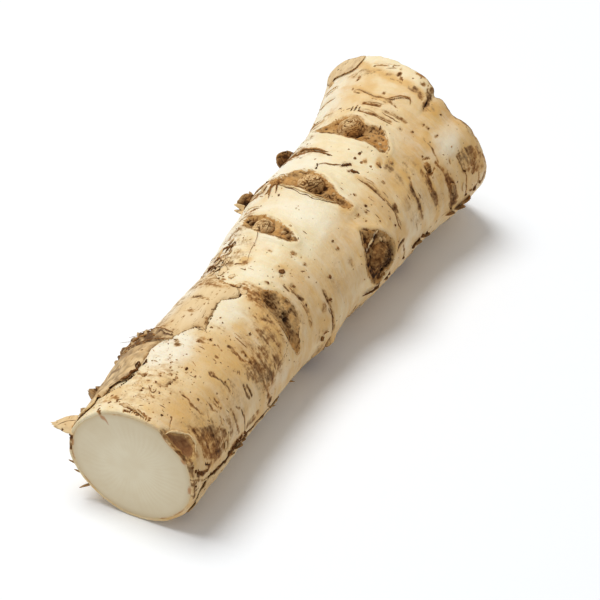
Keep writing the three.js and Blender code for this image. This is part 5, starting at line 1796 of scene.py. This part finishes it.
def tornPart(spec, seed):
    along, turn, out, side, length, width, curl, dark = spec
    rows, columns = tornSettings["rows"], tornSettings["columns"]
    start = skinPoint(along, turn, -0.4)[0]
    angle = math.radians(turn)
    sine, cosine = math.sin(angle), math.cos(angle)
    frameAxes = np.array([[1, 0, 0], [0, -sine, cosine], [0, -cosine, -sine]])
    outward, across = np.array(out) @ frameAxes, np.array(side) @ frameAxes
    outward = outward / np.linalg.norm(outward)
    across = across - outward * (across @ outward)
    across = across / np.linalg.norm(across)
    normal = np.cross(outward, across)
    grid = np.meshgrid(np.linspace(0, 1, rows), np.linspace(-1, 1, columns), indexing="ij")
    u, v = (values.ravel() for values in grid)
    flat = np.column_stack([u * length, v * width / 2, np.full(len(u), seed * 7.0)])
    edge = flat * np.array([0, 1, 1])
    reach = 1 + 0.22 * roughness3d(edge, 2.2, seed) + 0.12 * roughness3d(edge, 0.7, seed + 1) - 0.2 * v ** 2
    taper = (1 - 0.45 * u ** 2) * (1 + 0.25 * roughness3d(flat * np.array([1, 0, 1]), 1.5, seed + 2) * u)
    bend = curl * u ** 2 + 0.25 * roughness3d(flat, 2.0, seed + 3) + 0.1 * roughness3d(flat, 0.8, seed + 4)
    place = start + np.outer(u * reach * length, outward) + np.outer(v * taper * width / 2, across)
    place = place + np.outer(bend, normal)
    half = tornSettings["thickness"] / 2 * (1 - 0.6 * np.maximum(u, np.abs(v)) ** 3)
    top, bottom = place + np.outer(half, normal), place - np.outer(half, normal)
    squares = gridSquares(rows, columns)
    inward = np.minimum((1 - u) * length, (1 - np.abs(v)) * width / 2) + (0.7 if dark == 0 else 0.0)
    torn = (0.3 if dark else 0.0) + 0.5 * roughness3d(flat, 1.6, seed + 5)
    zones = np.column_stack([inward, torn, np.full(len(u), dark)])
    points = aboveFloor(np.vstack([top, bottom]), underGap)
    return points, sheetFaces(squares.tolist(), len(u)), {"zones": np.vstack([zones, zones])}


torn = [tornPart(spec, 400 + 7 * number) for number, spec in enumerate(tornSettings["pieces"])]
finishPiece(makeMesh("torn_bark", torn), materials["bark"])
print("torn bark is ready")


# Geometry node trees: crumbs are scattered on points, strands are swept along lines.
def newTree(name):
    tree = bpy.data.node_groups.new(name, "GeometryNodeTree")
    tree.interface.new_socket("Geometry", in_out="INPUT", socket_type="NodeSocketGeometry")
    tree.interface.new_socket("Material", in_out="INPUT", socket_type="NodeSocketMaterial")
    tree.interface.new_socket("Uneven", in_out="INPUT", socket_type="NodeSocketFloat")
    tree.interface.new_socket("Geometry", in_out="OUTPUT", socket_type="NodeSocketGeometry")
    return tree, tree.nodes.new("NodeGroupInput").outputs, tree.nodes.new("NodeGroupOutput").inputs


def namedValue(tree, name, kind):
    made = addNode(tree, "GeometryNodeInputNamedAttribute", {"Name": name}, data_type=kind)
    return made.outputs["Attribute"]


# Makes a surface uneven and gives it its material.
def finishTree(tree, geometry, given, out, size):
    place = tree.nodes.new("GeometryNodeInputPosition").outputs[0]
    centred = vectorNode(tree, "SUBTRACT", noiseNode(tree, place, 1500.0, 1.0)[1], (0.5, 0.5, 0.5))
    offset = vectorNode(tree, "SCALE", centred, times(tree, size, given["Uneven"]))
    moved = addNode(tree, "GeometryNodeSetPosition", {"Geometry": geometry, "Offset": offset}).outputs[0]
    smooth = addNode(tree, "GeometryNodeSetShadeSmooth", {"Geometry": moved}).outputs[0]
    inputs = {"Geometry": smooth, "Material": given["Material"]}
    tree.links.new(addNode(tree, "GeometryNodeSetMaterial", inputs).outputs[0], out["Geometry"])
    return tree


def crumbTree():
    tree, given, out = newTree("scatterCrumbs")
    crumb = addNode(tree, "GeometryNodeMeshUVSphere", {"Segments": 8, "Rings": 6, "Radius": 1.0}).outputs[0]
    size = namedValue(tree, "size", "FLOAT")
    outward = namedValue(tree, "outward", "FLOAT_VECTOR")
    inputs = {2: 0.0, 3: 6.28, "Seed": 3}
    turned = addNode(tree, "FunctionNodeRandomValue", inputs, data_type="FLOAT").outputs[1]
    spin = addNode(tree, "ShaderNodeCombineXYZ", {2: turned}).outputs[0]
    spun = addNode(tree, "FunctionNodeEulerToRotation", {0: spin}).outputs[0]
    inputs = {"Rotation": spun, "Vector": outward}
    facing = addNode(tree, "FunctionNodeAlignRotationToVector", inputs, axis="Z").outputs[0]
    inputs = {0: (0.6, 0.6, 0.4), 1: (1.5, 1.0, 0.8), "Seed": 4}
    stretch = addNode(tree, "FunctionNodeRandomValue", inputs, data_type="FLOAT_VECTOR").outputs[0]
    scale = vectorNode(tree, "SCALE", stretch, size)
    inputs = {"Points": given["Geometry"], "Instance": crumb, "Rotation": facing, "Scale": scale}
    placed = addNode(tree, "GeometryNodeInstanceOnPoints", inputs).outputs[0]
    joined = addNode(tree, "GeometryNodeRealizeInstances", {0: placed}).outputs[0]
    return finishTree(tree, joined, given, out, size)


def strandTree():
    tree, given, out = newTree("sweepStrands")
    thick = namedValue(tree, "thick", "FLOAT")
    path = addNode(tree, "GeometryNodeMeshToCurve", {"Mesh": given["Geometry"]}).outputs[0]
    profile = addNode(tree, "GeometryNodeCurvePrimitiveCircle", {"Resolution": 6, "Radius": 1.0}).outputs[0]
    inputs = {"Curve": path, "Profile Curve": profile, "Scale": thick, "Fill Caps": True}
    swept = addNode(tree, "GeometryNodeCurveToMesh", inputs).outputs[0]
    joined = addNode(tree, "GeometryNodeRealizeInstances", {0: swept}).outputs[0]
    return finishTree(tree, joined, given, out, thick)


# Runs a tree on a bare mesh with the given values per point; the result is a plain mesh.
def growPiece(name, tree, points, edges, values, uneven):
    mesh = bpy.data.meshes.new(name)
    mesh.from_pydata(points.tolist(), edges, [])
    writeValues(mesh, values)
    made = linkObject(name, mesh)
    modifier = made.modifiers.new("grow", "NODES")
    modifier.node_group = tree
    given = {"Material": materials["spot"], "Uneven": uneven}
    for item in tree.interface.items_tree:
        if item.in_out == "INPUT" and item.name in given:
            modifier[item.identifier] = given[item.name]
    graph = bpy.context.evaluated_depsgraph_get()
    evaluated = made.evaluated_get(graph)
    grown = bpy.data.meshes.new_from_object(evaluated, preserve_all_data_layers=True, depsgraph=graph)
    made.modifiers.clear()
    made.data = grown
    bpy.data.meshes.remove(mesh)
    return finishPiece(made, materials["spot"])


# Soil crumbs: those of crumbPlaces and, where soil gathers, more at random.
crumbSettings = {
    "seed": 17,
    "tried": 9000,       # random places tried
    "random": 900,       # the most that are kept
    "over": 0.7,         # how far those in the eyes are raised
    "smallest": 0.12,
    "largest": 0.4,
    "uneven": 1.1,
}


def crumbPiece():
    random = np.random.default_rng(crumbSettings["seed"])
    tried = crumbSettings["tried"]
    along, turn = random.uniform(1, 190, tried), random.uniform(-180, 180, tried)
    fields = skinFields(along, turn)
    chance = 0.02 + 0.6 * fields["soiled"] ** 1.5 + 0.4 * fields["brown"] + 0.5 * fields["scar"]
    chance = np.where(fields["hollow"] > 0.5, 0.4, chance)
    keep = np.flatnonzero(random.random(tried) < chance * 0.5)[:crumbSettings["random"]]
    smallest, largest = crumbSettings["smallest"], crumbSettings["largest"]
    sizes = smallest + random.random(len(keep)) ** 3 * (largest - smallest)
    placed = np.array(crumbPlaces)
    along, turn = np.append(placed[:, 0], along[keep]), np.append(placed[:, 1], turn[keep])
    size = np.append(placed[:, 2], sizes)
    tone = np.append(placed[:, 3], random.uniform(0.25, 0.7, len(keep)))
    fields = skinFields(along, turn)
    lift = bodyRelief(fields) + np.where(fields["hollow"] > 0.3, crumbSettings["over"], 0.0) + 0.1 * size
    points = plainPoint(along, turn, lift)
    angle = np.radians(turn)
    outward = np.column_stack([0 * angle, -np.sin(angle), np.cos(angle)])
    points = aboveFloor(points, 1.6 * size)
    values = {"size": size * mm, "tone": tone, "outward": outward}
    return growPiece("soil_crumbs", crumbTree(), points * mm, [], values, crumbSettings["uneven"])


crumbPiece()
print("crumbs are ready")

# Strands: points (along, turn, height over the skin), radius, lightness.
strandSettings = {
    "step": 0.5,
    "ridgeThickness": 0.15,
    "placed": [
        ([(101, -15, 1.2), (97.5, -14, 0.8), (95.5, -12.5, 0.5), (90.5, -12, 0.2),
          (85, -7, 0.1)], 0.11, 0.45),
        ([(122.4, -26, 0.1), (121, -14, 0.3), (119.9, -2, 0.3), (119.8, 8, 0.3), (120.6, 15, 0.2),
          (121.8, 22, 0.1)], 0.26, 0.95),
        ([(122.2, -27, 0.1), (120.4, -14, 0.12), (119.2, -2, 0.1), (119.1, 8, 0.1), (119.9, 15, 0.1),
          # the strand before is eye b's pale lip; this dark one just under it is a painted shadow line
          (121.2, 22, 0.1)], 0.13, 0.25),
        ([(123, -30, 0.3), (120, -31, 0.9), (117, -30, 0.3)], 0.3, 0.5),
        ([(125.5, -29, 0.2), (122, -26, 0.8), (118.5, -25, 0.2)], 0.26, 0.4),
        ([(119, -36, 0.2), (121, -30, 0.6), (124, -27, 0.2)], 0.22, 0.55),
        ([(178.6, -26, 0.1), (177.6, -16, 0.4), (175.8, -6.5, 0.5), (175.8, 2, 0.4)], 0.28, 0.75),
        ([(175.4, 1, 0.4), (176.4, 5, 0.9), (178.2, 9, 1.0), (179.2, 15, 0.7), (178.6, 16.6, 0.3),
          (177.4, 17.6, 0.1)], 0.26, 0.55),
        ([(167, -16.6, 0.1), (168.6, -17, 0.5), (170.2, -17.6, 0.1)], 0.16, 0.25),
        ([(167.2, -14, 0.1), (168.8, -14.4, 0.6), (170.6, -14.6, 0.1)], 0.16, 0.2),
        ([(167.6, -11.4, 0.1), (169, -11.8, 0.5), (170.4, -12, 0.1)], 0.15, 0.25),
        ([(2, -64, 0.2), (1.0, -70, 3.0), (-1.0, -74, 5.0)], 0.1, 0.35),
        ([(43, -60, 0.5), (42, -64, 3.0), (40, -66, 5.4)], 0.07, 0.3),
        ([(46, -60, 0.5), (46, -64, 3.0), (45, -68, 4.6)], 0.07, 0.3),
        ([(49, -60, 0.5), (50, -65, 2.6), (49.4, -69, 3.8)], 0.06, 0.3),
        ([(38.5, -11, 0.3), (36.5, -16, 0.9), (35.6, -25, 1.1), (34.8, -38, 1.2), (34, -52, 1.2),
          (32, -62, 1.0)], 0.16, 0.4),
        ([(41, -14, 0.5), (42.5, -26, 1.2), (44, -40, 1.2), (45, -54, 1.1)], 0.2, 0.45),
        ([(37, -20, 1.2), (38.6, -32, 1.8), (38, -46, 1.8), (36, -60, 1.6)], 0.34, 0.5),
        ([(39.4, -18, 1.0), (41, -33, 1.7), (41, -48, 1.8)], 0.26, 0.2),
        ([(20.5, -22.5, 0.5), (22, -19.6, 1.1), (23.2, -21.6, 1.2), (21.6, -24, 0.9),
          (20.2, -21.2, 0.6)], 0.3, 0.2),
        ([(22.4, -18.6, 0.2), (24, -17.4, 0.5), (25.4, -18.4, 0.2)], 0.34, 0.15),
        ([(14, -28, 0.9), (17, -23.5, 1.0), (19.4, -22.6, 0.8), (20.6, -20.6, 0.6),
          (19.2, -20, 0.4)], 0.4, 0.3),
        ([(3.6, -13, 0.1), (3.1, -4.5, 0.4), (2.5, 3.5, 0.4), (0.9, 13, 0.1)], 0.4, 0.85),
        ([(3.0, -12, 0.0), (2.5, -4.5, 0.1), (1.9, 3.5, 0.1)], 0.18, 0.3),
        ([(14, -2, 0.0), (12.4, 2, 0.15), (11, 5, 0.15), (12, 6.6, 0.1), (13.5, 5.4, 0.0)], 0.16, 0.4),
        ([(0.6, 33.5, 0.1), (1.8, 34.5, 0.4), (3.6, 38.5, 0.5), (5.4, 44, 0.5), (6.3, 50, 0.5),
          (6, 56, 0.4), (4.2, 61, 0.2)],
         0.36, 0.95),
        ([(8.5, -43.6, 0.9), (5.5, -43.4, 0.8), (4, -46.4, 0.8), (3, -48, 0.9), (1, -57, 0.9)], 0.34, 0.95),
        ([(4.4, 92, 0.1), (8, 96.5, 0.4), (13, 100.5, 0.4), (19, 104, 0.2)], 0.3, 0.92),
        ([(22.6, 76, 0.1), (21.6, 80, 0.4), (20.6, 86, 0.4), (19.6, 91, 0.1)], 0.3, 0.95),
        ([(5, 102, 0.3), (8.5, 96.5, 0.6), (13.5, 98.5, 0.6), (17, 100, 0.6), (22.5, 101.5, 0.6),
          (25.5, 99.5, 0.6)], 0.3, 0.2),
        ([(25.5, 99.5, 0.5), (30, 102, 0.6), (39.5, 109, 0.5), (50, 113, 0.5),
          (59.5, 117, 0.2)], 0.26, 0.25),
        ([(122, 100, 0.2), (118, 101, 1.0), (114, 101, 0.4)], 0.4, 0.2),
        ([(162.2, 10.6, 0.0), (163.6, 10, 0.7)], 0.35, 0.3),
        ([(124.6, 57, 0.4), (123.4, 59.5, 0.6), (121.8, 61.6, 0.7), (120, 63, 0.7),
          (118, 65.4, 0.4)], 0.42, 0.92),
        ([(127.6, 89, 0.2), (125.2, 94, 0.5), (121.6, 98.4, 0.3)], 0.3, 0.6),
        ([(137, -12, 0.1), (138.4, -7, 0.3), (139, -1, 0.3), (140.4, 4, 0.2)], 0.2, 0.45),
        ([(135.6, -10, 0.1), (136.4, -11.4, 0.4), (137.6, -12.4, 0.2)], 0.35, 0.2),
        ([(145.2, -32, 0.1), (145, -22, 0.4), (144.4, -14, 0.4), (143.6, -7, 0.1)], 0.3, 0.4),
        ([(146.6, -44, 0.1), (147, -34, 0.4), (146.2, -22, 0.4), (145.2, -12, 0.1)], 0.35, 0.5),
        ([(90, -38, 0.1), (92.5, -36.5, 0.5), (95, -35, 0.2)], 0.3, 0.35),
        ([(91, -44, 0.1), (92.6, -36, 0.5), (92.4, -31, 0.2)], 0.28, 0.4),
        ([(86, -46, 0.1), (86.6, -38, 0.5), (85, -33, 0.1)], 0.3, 0.35),
        ([(82, -48, 0.1), (83, -40, 0.6), (81.6, -33, 0.1)], 0.32, 0.3),
    ],
    "seed": 23,
    "tried": 3000,       # random places tried for short dashes
    "dashes": 260,       # the most that are kept
    "over": 0.7,         # how far those in the eyes are raised
    "uneven": 1.2,
}


def strandPiece():
    random = np.random.default_rng(strandSettings["seed"])
    strands = [(np.array(line, float), radius, tone) for line, radius, tone in strandSettings["placed"]]
    # ridges on both sides of the leaf scars
    for along, fromTurn, toTurn, halfWidth, darkness in scarSettings["rings"]:
        for side in (-1, 1):
            start, stop = random.uniform(fromTurn, fromTurn + 0.2 * (toTurn - fromTurn)), toTurn
            while start < stop - 4:
                run = random.uniform(5, 18)
                end = min(start + run, stop)
                shift = along + side * (halfWidth * 0.8 + 0.15) + random.normal(0, 0.2)
                halfway = (shift + random.normal(0, 0.3), (start + end) / 2, 0.08)
                line = np.array([(shift, start, 0.02), halfway, (shift, end, 0)])
                tone = 0.62 - 0.3 * darkness if side < 0 else 0.78
                strands.append((line, strandSettings["ridgeThickness"] * random.uniform(0.7, 1.3), tone))
                start = end + random.uniform(0.5, 6)
    # short dashes where the skin is wrinkled or soiled
    tried = strandSettings["tried"]
    along, turn = random.uniform(3, 190, tried), random.uniform(-180, 180, tried)
    fields = skinFields(along, turn)
    chance = 0.03 + 0.5 * fields["wrinkled"] + 0.25 * fields["soiled"]
    keep = np.flatnonzero((random.random(tried) < chance * 0.5) & (fields["hollow"] < -1))
    for index in keep[:strandSettings["dashes"]]:
        reach = random.uniform(1.5, 7)
        lean = random.normal(0, 0.5)
        end = along[index] + lean, turn[index] + reach, 0.05
        line = np.array([(along[index], turn[index], 0.0), end])
        strands.append((line, random.uniform(0.08, 0.18), random.uniform(0.3, 0.7)))
    # every strand as evenly spaced points, thinner towards its ends
    rows, edges = [], []
    for line, radius, tone in strands:
        perDegree = degreeLength(line[:, 0])
        runs = np.hypot(np.diff(line[:, 0]), np.diff(line[:, 1]) * perDegree[1:])
        runs = runs + np.abs(np.diff(line[:, 2]))
        lengths = np.concatenate([[0], np.cumsum(runs)])
        count = max(4, int(lengths[-1] / strandSettings["step"]))
        steps = np.linspace(0, lengths[-1], count)
        values = np.column_stack([np.interp(steps, lengths, line[:, column]) for column in range(3)])
        for _ in range(max(1, count // 12)):
            values[1:-1] = (values[:-2] + 2 * values[1:-1] + values[2:]) / 4
        share = steps / lengths[-1]
        taper = 0.25 + 0.75 * np.minimum(1, 5 * np.minimum(share, 1 - share))
        edges += [(len(rows) + i, len(rows) + i + 1) for i in range(count - 1)]
        rows += [(*value, radius * size, tone) for value, size in zip(values, taper)]
    rows = np.array(rows)
    flat = plainPoint(rows[:, 0], rows[:, 1])
    rows[:, 0] += layered(flat, [(0.3, 2.6, 81), (0.12, 0.9, 82)])
    rows[:, 3] *= 1 + 0.45 * roughness3d(flat, 1.3, 83)
    fields = skinFields(rows[:, 0], rows[:, 1])
    lift = bodyRelief(fields) + np.where(fields["hollow"] > 0.3, strandSettings["over"], 0.0) + rows[:, 2]
    values = {"thick": rows[:, 3] * mm, "tone": rows[:, 4]}
    points = plainPoint(rows[:, 0], rows[:, 1], lift)
    points = aboveFloor(points, 2.0 * rows[:, 3])
    return growPiece("root_strands", strandTree(), points * mm, edges, values, strandSettings["uneven"])


strandPiece()
print("strands are ready")


# Floor, light and camera.
studioSettings = {
    "floorSize": 4.0,
    "floorGap": 0.2,                     # how far the floor lies under the root, in millimetres
    "keyPlace": (-0.05, 0.46, 1.6),
    "keySize": 0.9,
    "keyPower": 18.0,
    "fill": 0.38,
    "floorTone": 0.82,
    "floorShown": (1.05, 1.075, 1.1),    # as the camera sees it
    "fadeFrom": 0.2,                     # beyond this the floor goes over to plain white, in metres
    "fadeTo": 0.45,
}


# Two numbers: 1 for what the camera sees straight, reflected or through something clear, and 1 for what it
# sees straight.
def seenRays(tree):
    rays = tree.nodes.new("ShaderNodeLightPath").outputs
    seen = mathNode(tree, "MAXIMUM", rays["Is Camera Ray"], rays["Is Glossy Ray"])
    return mathNode(tree, "MAXIMUM", seen, rays["Is Transmission Ray"]), rays["Is Camera Ray"]


def makeFloor():
    size = studioSettings["floorSize"] / 2
    ground = (floorZ - studioSettings["floorGap"]) * mm
    mesh = bpy.data.meshes.new("floor")
    corners = [(x * size, y * size, ground) for x, y in ((-1, -1), (1, -1), (1, 1), (-1, 1))]
    mesh.from_pydata(corners, [], [(0, 1, 2, 3)])
    floor = linkObject("floor", mesh)
    material = bpy.data.materials.new("whiteFloor")
    material.use_nodes = True
    tree = material.node_tree
    tree.nodes.clear()
    seen, direct = seenRays(tree)
    tone, shown = studioSettings["floorTone"], studioSettings["floorShown"]
    colour = mixColour(tree, seen, (tone, tone, tone, 1), (*shown, 1))
    diffuse = addNode(tree, "ShaderNodeBsdfDiffuse", {"Color": colour})
    plain = addNode(tree, "ShaderNodeEmission", {"Color": (1, 1, 1, 1), "Strength": 1.0})
    place = tree.nodes.new("ShaderNodeTexCoord").outputs["Object"]
    distance = addNode(tree, "ShaderNodeVectorMath", {0: place}, operation="LENGTH").outputs["Value"]
    far = rangeNode(tree, distance, studioSettings["fadeFrom"], studioSettings["fadeTo"])
    far = times(tree, far, direct)
    both = addNode(tree, "ShaderNodeMixShader", {0: far, 1: diffuse.outputs[0], 2: plain.outputs[0]})
    output = tree.nodes.new("ShaderNodeOutputMaterial")
    tree.links.new(both.outputs[0], output.inputs["Surface"])
    mesh.materials.append(material)


def lightWorld():
    world = bpy.data.worlds.new("studioWorld")
    bpy.context.scene.world = world
    world.use_nodes = True
    tree = world.node_tree
    tree.nodes.clear()
    seen = seenRays(tree)[0]
    strength = addNode(tree, "ShaderNodeMix", {0: seen, 2: studioSettings["fill"], 3: 1.0}).outputs[0]
    background = addNode(tree, "ShaderNodeBackground", {"Color": (1, 1, 1, 1), "Strength": strength})
    output = tree.nodes.new("ShaderNodeOutputWorld")
    tree.links.new(background.outputs[0], output.inputs["Surface"])


def makeKey():
    lamp = bpy.data.lights.new("softKey", "AREA")
    lamp.shape = "DISK"
    lamp.size = studioSettings["keySize"]
    lamp.energy = studioSettings["keyPower"]
    key = linkObject("softKey", lamp)
    key.location = studioSettings["keyPlace"]
    key.rotation_mode = "QUATERNION"
    key.rotation_quaternion = (-key.location).to_track_quat("-Z", "Y")


cameraSettings = {"lens": 160.0, "sensor": 36.0, "azimuth": -63.6953, "elevation": 40.7102,
                  "place": (-0.6473, -0.3216, 0.6415)}


def placeCamera():
    data = bpy.data.cameras.new("camera")
    data.lens, data.sensor_width = cameraSettings["lens"], cameraSettings["sensor"]
    camera = linkObject("camera", data)
    azimuth, elevation = (math.radians(cameraSettings[key]) for key in ("azimuth", "elevation"))
    back = Vector((math.sin(azimuth) * math.cos(elevation), -math.cos(azimuth) * math.cos(elevation),
                   math.sin(elevation)))
    camera.location = cameraSettings["place"]
    camera.rotation_mode = "QUATERNION"
    camera.rotation_quaternion = (-back).to_track_quat("-Z", "Y")
    bpy.context.scene.camera = camera


makeFloor()
lightWorld()
makeKey()
placeCamera()
bpy.context.scene.view_settings.view_transform = "Standard"
print("studio is ready")
